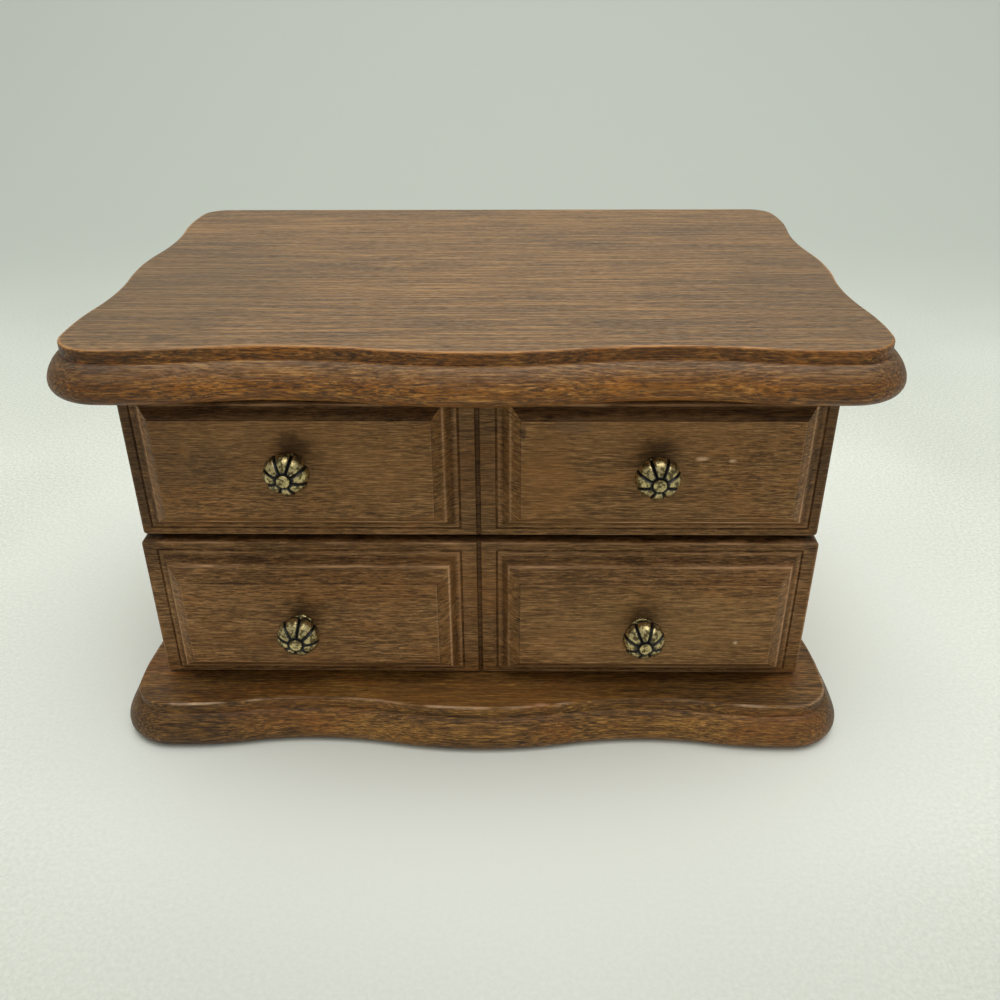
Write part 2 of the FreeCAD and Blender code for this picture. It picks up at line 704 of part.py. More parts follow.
def knob(row, name):
    label = "%s_knob_%s" % (row, name)
    body = new_body(label)
    section = new_sketch(body, "XZ_Plane", label + "_section")
    section.addGeometry(knob_outline(), False)
    turned = body.newObject("PartDesign::Revolution", label + "_turned")
    turned.Profile = section
    turned.ReferenceAxis = (section, ["V_Axis"])
    turned.Angle = 360
    doc.recompute()
    flute = new_sketch(body, "XY_Plane", label + "_flute_outline", "knob_collar_thick")
    centre = size("knob_radius") + size("knob_flute_radius") - size("knob_flute_bite")
    add_circle(flute, "0", "knob_radius + knob_flute_radius - knob_flute_bite", "knob_flute_radius",
               (0, centre, size("knob_flute_radius")))
    flute_cut = pocket(body, flute, label + "_flute", "knob_middle + knob_half_depth", True)
    pattern = body.newObject("PartDesign::PolarPattern", label + "_flutes")
    pattern.Originals = [flute_cut]
    pattern.Axis = (flute, ["N_Axis"])
    pattern.Angle = 360
    pattern.Occurrences = 8
    body.Tip = pattern
    body.Placement = Placement(Vector(), Rotation(Vector(1, 0, 0), 90))
    across, up = knob_place(row, name)
    bind(body, "Placement.Base.x", across)
    bind(body, "Placement.Base.y", "%s - %s - field_rise" % (FRONT_FACE, OUT[row]))
    bind(body, "Placement.Base.z", "%s + %s" % (FRONT_FOOT[row], up))
    return body


def knob_screws(row):
    """Two machine screws from inside the drawer, each into its knob."""
    screws = []
    inside = "%s - %s + front_thick" % (FRONT_FACE, OUT[row])
    for name in SIDES:
        place, up = knob_place(row, name)
        height = "%s + %s" % (FRONT_FOOT[row], up)
        tag = "%s_%s" % (row, name)
        head = rod("knob_screw_head_" + tag, place, inside + " + knob_screw_head_thick", height,
                   "knob_screw_head_radius", "knob_screw_head_thick", "-y")
        shank = rod("knob_screw_shank_" + tag, place, inside, height, "knob_screw_radius",
                    "front_thick + field_rise + knob_screw_grip", "-y")
        screws.append(fused("knob_screw_" + tag, [head, shank]))
    return group(row + "_knob_screws", screws)


def drawer(row):
    pieces = [drawer_front(row)] + drawer_box(row)
    pieces += [knob(row, name) for name in SIDES]
    return pieces + [knob_screws(row)]


nodes = chest_pieces() + fixings() + drawer("upper") + drawer("lower")
doc.recompute()

failed = [item.Name for item in doc.Objects if {"Invalid", "Error"} & set(item.State)]
if failed:
    raise RuntimeError("these objects failed: " + ", ".join(failed))
for node in nodes:
    if node.Shape.isNull() or not node.Shape.isValid() or not node.Shape.Solids:
        raise RuntimeError("no good shape for " + node.Label)
for node in nodes:
    node.Shape.exportStep("parts/%s.step" % node.Label)
    bounds = node.Shape.BoundBox
    print("%-26s %d solid(s) %9.0f mm3  %6.1f %6.1f %6.1f to %6.1f %6.1f %6.1f" % (
        node.Label, len(node.Shape.Solids), node.Shape.Volume,
        bounds.XMin, bounds.YMin, bounds.ZMin, bounds.XMax, bounds.YMax, bounds.ZMax))
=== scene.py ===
import bmesh
import bpy
import json
import math
from mathutils import Matrix, Vector, noise

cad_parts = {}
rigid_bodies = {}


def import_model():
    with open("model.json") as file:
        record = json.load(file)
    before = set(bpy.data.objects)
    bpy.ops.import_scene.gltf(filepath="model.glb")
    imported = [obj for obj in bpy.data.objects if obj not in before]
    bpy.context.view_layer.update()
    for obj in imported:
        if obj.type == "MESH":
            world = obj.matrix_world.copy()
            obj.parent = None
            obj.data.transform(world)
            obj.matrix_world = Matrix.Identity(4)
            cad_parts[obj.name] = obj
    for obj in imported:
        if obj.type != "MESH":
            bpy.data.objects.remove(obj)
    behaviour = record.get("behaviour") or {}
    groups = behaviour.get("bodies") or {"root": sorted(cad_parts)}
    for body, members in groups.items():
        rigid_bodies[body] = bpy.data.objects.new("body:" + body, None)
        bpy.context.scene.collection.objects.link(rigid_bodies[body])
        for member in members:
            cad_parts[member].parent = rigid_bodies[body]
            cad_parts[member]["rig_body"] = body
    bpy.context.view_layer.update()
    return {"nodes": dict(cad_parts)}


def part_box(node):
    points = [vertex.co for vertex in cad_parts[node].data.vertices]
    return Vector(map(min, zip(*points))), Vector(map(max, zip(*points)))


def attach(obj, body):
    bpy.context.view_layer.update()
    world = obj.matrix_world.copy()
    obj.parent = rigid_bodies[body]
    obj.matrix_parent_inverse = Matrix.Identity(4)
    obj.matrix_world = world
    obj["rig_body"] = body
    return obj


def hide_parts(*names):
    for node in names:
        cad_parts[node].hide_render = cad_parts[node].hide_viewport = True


# Looks of a small two-drawer jewelry chest. Shapes are worked out in millimetres in the part's own
# frame, and become metres where a mesh is made.

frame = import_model()
MM = 0.001
WELD, SLIVER = 2e-6, 1e-6


# Small tools

def colour(red, green, blue):
    """A colour read as 0 to 255 values, as the linear numbers that shaders take."""
    shares = [value / 255 for value in (red, green, blue)]
    return [value / 12.92 if value <= 0.04045 else ((value + 0.055) / 1.055) ** 2.4
            for value in shares] + [1.0]


def clamp(value):
    return min(1.0, max(0.0, value))


def wobble(x, y, z=0.0):
    """Smooth noise from -1 to 1 at a point in noise cells."""
    return noise.noise(Vector((x, y, z)))


class Shape:
    """Points and faces of one mesh in millimetres, with a wear and a shade mark at each point."""

    def __init__(self):
        self.points, self.faces, self.wear, self.shade = [], [], [], []

    def add(self, point, wear=0.0, shade=0.0):
        self.points.append(tuple(point))
        self.wear.append(wear)
        self.shade.append(shade)
        return len(self.points) - 1

    def strip(self, first, second, closed=True, skip=None):
        """Faces between two rows of points, but for the pairs that skip says."""
        count = len(first)
        for number in range(count if closed else count - 1):
            after = (number + 1) % count
            if skip and skip(number, after):
                continue
            self.faces.append((first[number], first[after], second[after], second[number]))

    def sheet(self, rows):
        """Joins open rows, each to the next."""
        for lower, upper in zip(rows, rows[1:]):
            self.strip(lower, upper, False)

    def tube(self, rows, foot=True):
        """Joins closed rows, each to the next, and closes the last one and, for a foot, the first."""
        for lower, upper in zip(rows, rows[1:]):
            self.strip(lower, upper)
        self.faces.append(tuple(rows[-1]))
        if foot:
            self.faces.append(tuple(reversed(rows[0])))

    def mesh(self, name):
        mesh = bpy.data.meshes.new(name)
        mesh.from_pydata([(x * MM, y * MM, z * MM) for x, y, z in self.points], [], self.faces)
        return mesh

    def marks(self):
        return {"wear": self.wear, "shade": self.shade}


def harden(shaped, sharp):
    """Makes an edge hard at a rim, and where two faces meet at the given degrees or more."""
    for edge in shaped.edges:
        edge.smooth = len(edge.link_faces) == 2 and edge.calc_face_angle(0.0) < math.radians(sharp)


def shade_smooth(shaped, sharp):
    for face in shaped.faces:
        face.smooth = True
    harden(shaped, sharp)


def clean(mesh, sharp):
    """Joins doubled points, turns the faces outwards and shades them."""
    shaped = bmesh.new()
    shaped.from_mesh(mesh)
    bmesh.ops.remove_doubles(shaped, verts=shaped.verts, dist=WELD)
    bmesh.ops.dissolve_degenerate(shaped, dist=SLIVER, edges=shaped.edges)
    bmesh.ops.recalc_face_normals(shaped, faces=shaped.faces)
    shade_smooth(shaped, sharp)
    shaped.to_mesh(mesh)
    shaped.free()


def add_object(name, data):
    made = bpy.data.objects.new(name, data)
    bpy.context.scene.collection.objects.link(made)
    return made


def stand_in(name, mesh, material, node):
    """An object that stands for a node and rides on that node's body."""
    mesh.materials.append(material)
    made = add_object(name, mesh)
    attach(made, frame["nodes"][node]["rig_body"])
    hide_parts(node)
    return made


def piece(name, shape, material, node, sharp, marks=None):
    """A stand-in made from a shape: it carries the shape's own marks unless others are given."""
    mesh = shape.mesh(name)
    for mark, values in (shape.marks() if marks is None else marks).items():
        layer = mesh.attributes.new(mark, "FLOAT", "POINT")
        layer.data.foreach_set("value", values)
    clean(mesh, sharp)
    return stand_in(name, mesh, material, node)


# Shader nodes: each call adds its nodes to a material's tree and gives back their output

def start_material(name):
    material = bpy.data.materials.new(name)
    material.use_nodes = True
    tree = material.node_tree
    return material, tree, tree.nodes["Principled BSDF"]


def feed(tree, value, socket):
    """Sets a socket to a plain number or colour, or links it to another node's output."""
    if isinstance(value, (int, float, list, tuple)):
        socket.default_value = value
    else:
        tree.links.new(value, socket)


def object_place(tree):
    return tree.nodes.new("ShaderNodeTexCoord").outputs["Object"]


def mapped(tree, vector, kind="POINT", **settings):
    node = tree.nodes.new("ShaderNodeMapping")
    node.vector_type = kind
    for name, setting in settings.items():
        feed(tree, setting, node.inputs[name])
    feed(tree, vector, node.inputs["Vector"])
    return node.outputs["Vector"]


def noise_node(tree, vector, scales, detail=3.0, roughness=0.55, distortion=0.0):
    """Noise stretched to cells of the given number per metre along each axis."""
    texture = tree.nodes.new("ShaderNodeTexNoise")
    texture.inputs["Scale"].default_value = 1.0
    texture.inputs["Detail"].default_value = detail
    texture.inputs["Roughness"].default_value = roughness
    texture.inputs["Distortion"].default_value = distortion
    feed(tree, mapped(tree, vector, Scale=scales), texture.inputs["Vector"])
    return texture.outputs["Fac"]


def math_node(tree, operation, *values):
    node = tree.nodes.new("ShaderNodeMath")
    node.operation = operation
    for socket, value in zip(node.inputs, values):
        feed(tree, value, socket)
    return node.outputs["Value"]


def length_of(tree, vector):
    node = tree.nodes.new("ShaderNodeVectorMath")
    node.operation = "LENGTH"
    feed(tree, vector, node.inputs[0])
    return node.outputs["Value"]


def ramp(tree, factor, stops):
    """A colour ramp: stops are (place, colour)."""
    node = tree.nodes.new("ShaderNodeValToRGB")
    while len(node.color_ramp.elements) < len(stops):
        node.color_ramp.elements.new(0.5)
    for element, (place, shade) in zip(node.color_ramp.elements, stops):
        element.position = place
        element.color = shade
    feed(tree, factor, node.inputs["Fac"])
    return node.outputs["Color"]


def spread(tree, value, low, high, to_low=0.0, to_high=1.0):
    """The value taken smoothly from one range to another, and held at its ends."""
    node = tree.nodes.new("ShaderNodeMapRange")
    node.interpolation_type = "SMOOTHSTEP"
    for socket, setting in zip(node.inputs, (value, low, high, to_low, to_high)):
        feed(tree, setting, socket)
    return node.outputs[0]


def mix(tree, factor, first, second, blend="MIX"):
    node = tree.nodes.new("ShaderNodeMix")
    node.data_type = "RGBA"
    node.blend_type = blend
    for socket, value in ((0, factor), (6, first), (7, second)):
        feed(tree, value, node.inputs[socket])
    return node.outputs[2]


def attribute(tree, name):
    node = tree.nodes.new("ShaderNodeAttribute")
    node.attribute_name = name
    return node.outputs["Fac"]


def bump(tree, shader, height, distance):
    node = tree.nodes.new("ShaderNodeBump")
    node.inputs["Distance"].default_value = distance
    feed(tree, height, node.inputs["Height"])
    feed(tree, node.outputs["Normal"], shader.inputs["Normal"])


def spot(tree, centre, reach, strength):
    """A soft ragged spot round a point, both in millimetres."""
    place = object_place(tree)
    scaled = mapped(tree, place, "TEXTURE", Location=[value * MM for value in centre],
                    Scale=[value * MM for value in reach])
    ragged = noise_node(tree, place, (260, 420, 420), 3, 0.6)
    edge = math_node(tree, "MULTIPLY_ADD", ragged, 1.2, length_of(tree, scaled))
    return spread(tree, edge, 0.9, 1.6, strength, 0.0)


# Wood

GRAIN_TURNS = {"X": (0, 0, 0), "Y": (0, 0, math.pi / 2), "Z": (0, math.pi / 2, 0)}
PORE_SHADE = [0.22, 0.19, 0.17, 1]
# tone that the shade mark darkens towards: grime, and painted shade
GRIME_AND_PAINTED_SHADE = [0.24, 0.20, 0.18, 1]
# colour of the haze: partly dusty, partly a painted sheen
DUST_AND_SHEEN = (131, 110, 86)
PORE_DEPTH = 0.00009


def wood(name, tones, grain="X", shift=(0, 0, 0), rough=0.45, gloss=0.3, pores=0.8, blotch=0.3,
         flecks=0.5, warm=None, warmth=0.0, spots=(), broad=(1.0, 1.0), depth=1.0, speckle=0.15):
    """Stained open-pored wood: figure, fine streaks, dark pores, uneven stain, wear and small marks.

    The tones are deep, middle, light and worn. The streaks are made longer and thicker by broad,
    and a depth under 1 draws the figure out from front to back. Over it lie a dusty haze that also
    paints a sheen, grime and painted shade from the shade mark, and spots, some of them painted light
    or painted shadow.
    """
    material, tree, shader = start_material(name)
    deep, middle, light, worn = [colour(*tone) for tone in tones]
    place = mapped(tree, object_place(tree), Rotation=GRAIN_TURNS[grain], Location=shift)
    # the haze mark: partly dusty, partly a painted sheen on the top and painted highlights on the nose
    dust_sheen = attribute(tree, "dust_sheen")
    longer, thicker = broad

    def under_dust_sheen(share):
        """What the dusty haze and its painted sheen leave to be seen."""
        return math_node(tree, "MULTIPLY_ADD", dust_sheen, -share, 1.0)

    def times(first, second):
        return math_node(tree, "MULTIPLY", first, second)

    # cells per metre along the grain, then the two ways across it
    figure = noise_node(tree, place, (9, 160 * depth, 160), 3, 0.55, 0.4)
    streaks = (110 / longer, 2000 * depth / thicker, 2000 / thicker)
    fine = noise_node(tree, place, streaks, 3, 0.65, 0.15)
    fleck = noise_node(tree, place, (220, 1900 * depth, 1900), 2, 0.6, 0.25)
    hairs = (100 / longer, 2500 * depth / thicker, 2500 / thicker)
    hair = noise_node(tree, place, hairs, 2, 0.6)
    grit = noise_node(tree, place, (290, 1700 * depth, 1700), 3, 0.6, 0.2)
    stain = noise_node(tree, place, (14, 24, 24), 4, 0.55, 0.6)
    patch = noise_node(tree, place, (24, 60, 60), 4, 0.6, 0.8)

    tone = math_node(tree, "MULTIPLY_ADD", figure, 0.15, times(fine, 0.57))
    tone = math_node(tree, "MULTIPLY_ADD", fleck, 0.28, tone)
    tone = math_node(tree, "MULTIPLY_ADD", math_node(tree, "SUBTRACT", stain, 0.5), blotch, tone)
    body = ramp(tree, tone, [(0.41, deep), (0.5, middle), (0.59, light)])
    if warm:
        share = times(spread(tree, patch, 0.46, 0.68, warmth, 0.65), under_dust_sheen(1.0))
        body = mix(tree, share, body, colour(*warm))

    pore = times(spread(tree, hair, 0.52, 0.60), spread(tree, fine, 0.42, 0.54))
    short = times(spread(tree, fleck, 0.53, 0.59), spread(tree, stain, 0.36, 0.54))
    short = times(short, under_dust_sheen(0.8))
    dark = mix(tree, 1.0, body, PORE_SHADE, "MULTIPLY")
    body = mix(tree, times(pore, pores), body, dark)
    body = mix(tree, times(short, flecks), body, dark)
    # the haze, partly dusty and partly a painted sheen and highlight
    body = mix(tree, times(dust_sheen, spread(tree, grit, 0.42, 0.6, 0.14, 0.52)), body, colour(*DUST_AND_SHEEN))
    swing = times(spread(tree, grit, 0.36, 0.64, -speckle, speckle), under_dust_sheen(0.6))
    body = mix(tree, 1.0, body, math_node(tree, "ADD", swing, 1.0), "MULTIPLY")

    # the shade mark: grime, and painted shade in creases, under overhangs and in gaps
    body = mix(tree, attribute(tree, "shade"), body, mix(tree, 1.0, body, GRIME_AND_PAINTED_SHADE, "MULTIPLY"))
    rub = times(attribute(tree, "wear"), spread(tree, fine, 0.3, 0.6, 0.35, 1.0))
    body = mix(tree, rub, body, worn)
    for centre, reach, shade, strength in spots:
        body = mix(tree, spot(tree, centre, reach, strength), body, colour(*shade))

    feed(tree, body, shader.inputs["Base Color"])
    feed(tree, gloss, shader.inputs["Specular IOR Level"])
    feed(tree, spread(tree, fine, 0.3, 0.7, rough + 0.08, rough - 0.06), shader.inputs["Roughness"])
    height = math_node(tree, "SUBTRACT", times(fine, 0.5), times(pore, 0.8))
    bump(tree, shader, math_node(tree, "SUBTRACT", height, times(short, 0.5 * flecks)), PORE_DEPTH)
    return material


# Marks on the wood, some of them painted light or painted shadow: (centre, reach, colour, strength),
# and each knob's (x, z, turn in degrees)

KNOBS = {("upper", "left"): (-64.0, 113.85, 20.5), ("upper", "right"): (61.3, 112.55, 22.5),
         ("lower", "left"): (-66.3, 47.85, 9.5), ("lower", "right"): (60.7, 46.75, 18.5)}
DUSK, UMBER, FIELD_TOP_PAINTED_LIGHT = (40, 28, 18), (84, 66, 46), (176, 128, 78)
BASE_SPOTS = [
    ((23.0, -93.0, 17.6), (4.2, 1.2, 0.9), (196, 146, 110), 0.9),
    ((32.0, -93.6, 17.0), (4.0, 1.5, 1.7), (204, 154, 118), 1.0),
    ((52.0, -97.0, 12.4), (1.6, 2.0, 1.4), (140, 98, 66), 0.6),
    ((-104.0, -86.0, 8.0), (50.0, 30.0, 18.0), DUSK, 0.3),
    ((92.0, -84.0, 17.5), (52.0, 24.0, 3.0), DUSK, 0.33),
    ((-106.0, -84.0, 17.5), (34.0, 16.0, 3.0), DUSK, 0.2),
    ((0.0, -88.0, 17.5), (70.0, 14.0, 3.0), (156, 106, 54), 0.3),
    ((141.0, -70.0, 9.0), (19.0, 36.0, 14.0), DUSK, 0.5)]
TOP_SPOTS = [
    ((-101.0, -82.0, 160.0), (9.0, 3.0, 1.0), DUSK, 0.5),
    ((-118.0, -88.0, 157.0), (26.0, 9.0, 4.0), DUSK, 0.6),
    ((142.0, -70.0, 151.0), (16.0, 36.0, 14.0), DUSK, 0.35),
    ((-110.0, -30.0, 160.0), (60.0, 90.0, 3.0), (76, 62, 44), 0.36),
    ((125.0, -30.0, 160.0), (50.0, 90.0, 3.0), UMBER, 0.25)]
FRONT_SPOTS = [
    ((77.4, -80.2, 115.8), (2.9, 3.0, 1.1), (214, 172, 130), 1.0),
    ((87.7, -80.2, 115.0), (2.0, 3.0, 1.2), (206, 166, 124), 1.0),
    ((96.5, -82.7, 39.2), (1.2, 3.0, 1.0), (206, 176, 144), 1.0),
    ((15.9, -80.0, 125.1), (1.4, 3.0, 3.6), (30, 20, 13), 0.7),
    ((18.9, -76.5, 68.7), (2.0, 3.0, 0.8), (150, 108, 78), 0.7),
    ((24.0, -80.2, 108.0), (14.0, 3.0, 26.0), (152, 104, 54), 0.45),
    ((-91.5, -80.2, 113.0), (13.0, 3.0, 11.0), (66, 54, 40), 0.36),
    ((-108.0, -80.2, 116.0), (16.0, 3.0, 26.0), UMBER, 0.3),
    # painted light along the top of each upper field, below the board's shadow
    ((-62.0, -80.2, 126.0), (56.0, 3.0, 13.0), FIELD_TOP_PAINTED_LIGHT, 0.22),
    ((62.0, -80.2, 126.0), (56.0, 3.0, 13.0), FIELD_TOP_PAINTED_LIGHT, 0.22),
    ((-34.0, -80.2, 110.0), (26.0, 3.0, 18.0), (172, 122, 70), 0.2),
    ((64.0, -82.7, 46.0), (60.0, 3.0, 22.0), (182, 140, 86), 0.22),
    ((0.0, -74.0, 112.0), (11.0, 9.0, 70.0), DUSK, 0.22),
    ((-123.5, -76.0, 112.0), (10.0, 16.0, 70.0), DUSK, 0.6),
    ((123.5, -76.0, 112.0), (10.0, 16.0, 70.0), DUSK, 0.5),
    ((-79.0, -80.2, 125.7), (4.0, 3.0, 0.7), (138, 102, 74), 0.5),
    ((32.0, -80.2, 128.0), (9.0, 3.0, 5.0), (112, 84, 62), 0.45)]
# painted shadow above each knob, on the field
FRONT_SPOTS += [((x + 1, -81.0, z + 5.5), (9.5, 4.0, 8.5), (38, 24, 14), 0.62)
                for x, z, _ in KNOBS.values()]

CASE_TONES = [(64, 42, 22), (104, 72, 40), (134, 98, 58), (160, 118, 74)]
PALE_TONES = [(172, 134, 88), (200, 164, 116), (218, 186, 140), (224, 196, 152)]
PALE_LOOKS = dict(rough=0.6, pores=0.3, blotch=0.2, flecks=0.15)

board_wood = wood("walnut_moulded", [(56, 34, 12), (122, 79, 28), (178, 130, 68), (216, 154, 92)],
                  gloss=0.36, blotch=0.12, flecks=0.8, warm=(160, 96, 24), warmth=0.33,
                  spots=TOP_SPOTS, broad=(3.6, 1.7), speckle=0.42)
base_wood = wood("walnut_base", [(72, 47, 18), (134, 92, 39), (176, 128, 62), (246, 206, 166)],
                 shift=(0.21, 0.33, 0.02), blotch=0.22, flecks=0.7, warm=(148, 90, 32),
                 spots=BASE_SPOTS, broad=(1.6, 1.1), speckle=0.32)
front_wood = wood("walnut_front", [(94, 65, 34), (144, 104, 60), (172, 129, 82), (208, 160, 116)],
                  shift=(0.37, 0.11, 0.05), rough=0.52, gloss=0.2, blotch=0.11, flecks=0.75,
                  warm=(150, 102, 54), spots=FRONT_SPOTS, depth=0.2, speckle=0.2)
case_wood = wood("walnut_case", CASE_TONES, grain="Z", shift=(0.2, 0.4, 0.1))
divider_wood = wood("walnut_divider", CASE_TONES, shift=(0.7, 0.3, 0.2))
pale_wood = wood("pale_wood", PALE_TONES, grain="Y", shift=(0.1, 0.2, 0.4), **PALE_LOOKS)
pale_cross = wood("pale_wood_cross", PALE_TONES, shift=(0.5, 0.6, 0.4), **PALE_LOOKS)
plywood = wood("plywood", [(146, 108, 68), (176, 136, 92), (198, 160, 114), (206, 172, 128)],
               shift=(0.15, 0.8, 0.3), rough=0.62, pores=0.35, flecks=0.2)


# Metal and felt

def metal(name, clear, dull, black, rough):
    """Antique metal: rubbed high spots, dull mottling, and black where the shade mark says: patina in
    grooves and round a knob's button, painted shade on a knob's back half.
    """
    material, tree, shader = start_material(name)
    place = object_place(tree)
    mottle = noise_node(tree, place, (620, 620, 620), 3, 0.6)
    pits = noise_node(tree, place, (1500, 1500, 1500), 2, 0.5)
    skin = mix(tree, spread(tree, mottle, 0.46, 0.58), colour(*clear), colour(*dull))
    pitted = math_node(tree, "MULTIPLY", spread(tree, pits, 0.58, 0.7), 0.5)
    edge = math_node(tree, "ADD", attribute(tree, "shade"), pitted)
    edge = spread(tree, edge, 0.25, 0.75)
    bare = math_node(tree, "SUBTRACT", 1.0, math_node(tree, "MULTIPLY", edge, 0.75))
    feed(tree, mix(tree, edge, skin, colour(*black)), shader.inputs["Base Color"])
    feed(tree, bare, shader.inputs["Metallic"])
    feed(tree, spread(tree, mottle, 0.3, 0.7, rough - 0.08, rough + 0.16), shader.inputs["Roughness"])
    height = math_node(tree, "ADD", mottle, math_node(tree, "MULTIPLY", pits, 0.4))
    bump(tree, shader, height, 0.00012)
    return material


brass = metal("antique_brass", (200, 182, 130), (104, 92, 62), (10, 8, 7), 0.32)
pin_brass = metal("pin_brass", (188, 160, 96), (140, 116, 70), (30, 24, 16), 0.4)
steel = metal("screw_steel", (170, 168, 162), (128, 126, 120), (34, 32, 30), 0.42)


def felt_material():
    material, tree, shader = start_material("felt")
    place = object_place(tree)
    nap = noise_node(tree, place, (900, 900, 900), 4, 0.7, 1.5)
    cloud = noise_node(tree, place, (40, 40, 40), 3, 0.6)
    tone = math_node(tree, "MULTIPLY_ADD", cloud, 0.4, math_node(tree, "MULTIPLY", nap, 0.6))
    stops = [(0.3, colour(58, 12, 18)), (0.55, colour(92, 22, 30)), (0.75, colour(118, 38, 44))]
    feed(tree, ramp(tree, tone, stops), shader.inputs["Base Color"])
    shader.inputs["Roughness"].default_value = 0.95
    shader.inputs["Sheen Weight"].default_value = 0.35
    shader.inputs["Sheen Roughness"].default_value = 0.5
    bump(tree, shader, nap, 0.0004)
    return material


felt = felt_material()


# Serpentine boards: the plan is that of the step, which is set back from the nose

HALF_WIDTH, HALF_DEPTH = 134.4, 95.4
FRONT_ROUND, BACK_ROUND = 15.0, 10.5
FRONT_HOLLOW, FRONT_HOLLOW_X = 5.9, 64.0
LOBE_SETBACK, LOBE_FROM_END = 1.6, 20.4
SIDE_HOLLOW, SIDE_LOBE_FRONT, SIDE_LOBE_BACK = 2.6, 24.5, 22.4
POINT_GAP = 1.7
BACK_STEPS = 40


def s_curve(crest, trough, out, backwards=False):
    """Points and outward normals along two equal arcs from a lobe's crest to the next hollow."""
    along = trough - crest
    depth = abs(along.dot(out))
    side = along - out * along.dot(out)
    run = side.length
    side.normalize()
    radius = (run ** 2 + depth ** 2) / (4 * depth)
    turn = math.asin(run / (2 * radius))
    count = max(6, round(run / POINT_GAP))
    found = []
    for number in range(count + 1):
        share = number / count
        angle = 2 * turn * (share if share <= 0.5 else 1 - share)
        normal = out * math.cos(angle) + side * math.sin(angle)
        first_half = crest + (normal - out) * radius
        point = first_half if share <= 0.5 else trough + (out - normal) * radius
        found.append((point, normal))
    return found[::-1] if backwards else found


def sweep(centre, radius, start, end):
    """Points and outward normals along an arc between two of its points."""
    angles = [math.atan2(point.y - centre.y, point.x - centre.x) for point in (start, end)]
    turn = (angles[1] - angles[0] + math.pi) % math.tau - math.pi
    count = max(2, round(abs(turn) * radius / POINT_GAP))
    steps = [angles[0] + turn * number / count for number in range(count + 1)]
    normals = [Vector((math.cos(angle), math.sin(angle))) for angle in steps]
    return [(centre + normal * radius, normal) for normal in normals]


def outline():
    """The step's plan, all the way round: points with their outward normals."""
    front, aside = Vector((0, -1)), Vector((1, 0))
    trough = Vector((FRONT_HOLLOW_X, -HALF_DEPTH + FRONT_HOLLOW))
    lobe = Vector((HALF_WIDTH - LOBE_FROM_END, -HALF_DEPTH + LOBE_SETBACK))
    side_front = Vector((HALF_WIDTH, SIDE_LOBE_FRONT - HALF_DEPTH))
    side_back = Vector((HALF_WIDTH, HALF_DEPTH - SIDE_LOBE_BACK))
    quarter = (side_back - side_front) / 4
    side_middle = side_front + quarter * 2
    hollows = [side_front + quarter * share - aside * SIDE_HOLLOW for share in (1, 3)]
    end_radius = (trough - lobe).length_squared / (4 * abs((trough - lobe).dot(front)))
    side_radius = (hollows[0] - side_front).length_squared / (4 * SIDE_HOLLOW)
    end_centre, side_centre = lobe - front * end_radius, side_front - aside * side_radius
    back_centre = side_back - aside * side_radius

    # the front corner's arc touches the end lobe's arc and the side lobe's arc
    along = side_centre - end_centre
    reach = end_radius - FRONT_ROUND
    far_reach = side_radius - FRONT_ROUND
    share = (reach ** 2 - far_reach ** 2 + along.length_squared) / (2 * along.length_squared)
    foot = end_centre + along * share
    rise = math.sqrt(reach ** 2 - (foot - end_centre).length_squared)
    across = Vector((-along.y, along.x)).normalized()
    turn = max((foot + across * rise, foot - across * rise), key=lambda point: point.x - point.y)

    # the back corner's arc touches the side lobe's arc and the straight back
    back_y = HALF_DEPTH - BACK_ROUND
    back = back_centre.x + math.sqrt((side_radius - BACK_ROUND) ** 2 - (back_y - back_centre.y) ** 2)
    back_turn = Vector((back, back_y))
    joins = [end_centre + (turn - end_centre).normalized() * end_radius,
             side_centre + (turn - side_centre).normalized() * side_radius,
             back_centre + (back_turn - back_centre).normalized() * side_radius]

    run = s_curve(Vector((0, -HALF_DEPTH)), trough, front)
    run += s_curve(lobe, trough, front, True)
    run += sweep(end_centre, end_radius, lobe, joins[0])
    run += sweep(turn, FRONT_ROUND, joins[0], joins[1])
    run += sweep(side_centre, side_radius, joins[1], side_front)
    run += s_curve(side_front, hollows[0], aside) + s_curve(side_middle, hollows[0], aside, True)
    run += s_curve(side_middle, hollows[1], aside) + s_curve(side_back, hollows[1], aside, True)
    run += sweep(back_centre, side_radius, side_back, joins[2])
    run += sweep(back_turn, BACK_ROUND, joins[2], Vector((back_turn.x, HALF_DEPTH)))
    run += [(Vector((back_turn.x * (1 - number / BACK_STEPS), HALF_DEPTH)), Vector((0, 1)))
            for number in range(1, BACK_STEPS + 1)]
    run += [(Vector((-point.x, point.y)), Vector((-normal.x, normal.y)))
            for point, normal in run[-2:0:-1]]
    ring = []
    for point, normal in run:
        if not ring or (ring[-1][0] - point).length > 0.05:
            ring.append((point, normal))
    return ring


def smooth_line(knots, steps=4):
    """A smooth line through the knots."""
    found = []
    for number in range(len(knots) - 1):
        before, start, end, after = [Vector(knots[min(max(number + shift, 0), len(knots) - 1)])
                                     for shift in (-1, 0, 1, 2)]
        for step in range(steps):
            share = step / steps
            found.append(0.5 * (2 * start + (end - before) * share
                                + (2 * before - 5 * start + 4 * end - after) * share ** 2
                                + (3 * start - before - 3 * end + after) * share ** 3))
    return found + [Vector(knots[-1])]


# how far the nose stands out at each height over the board's foot
NOSE = [(1.4, 0.0), (3.0, 0.35), (4.5, 1.5), (5.35, 3.0), (5.6, 4.4), (5.4, 6.1), (4.6, 8.2),
        (3.35, 10.3), (1.9, 12.0), (0.9, 12.75), (0.05, 13.1)]
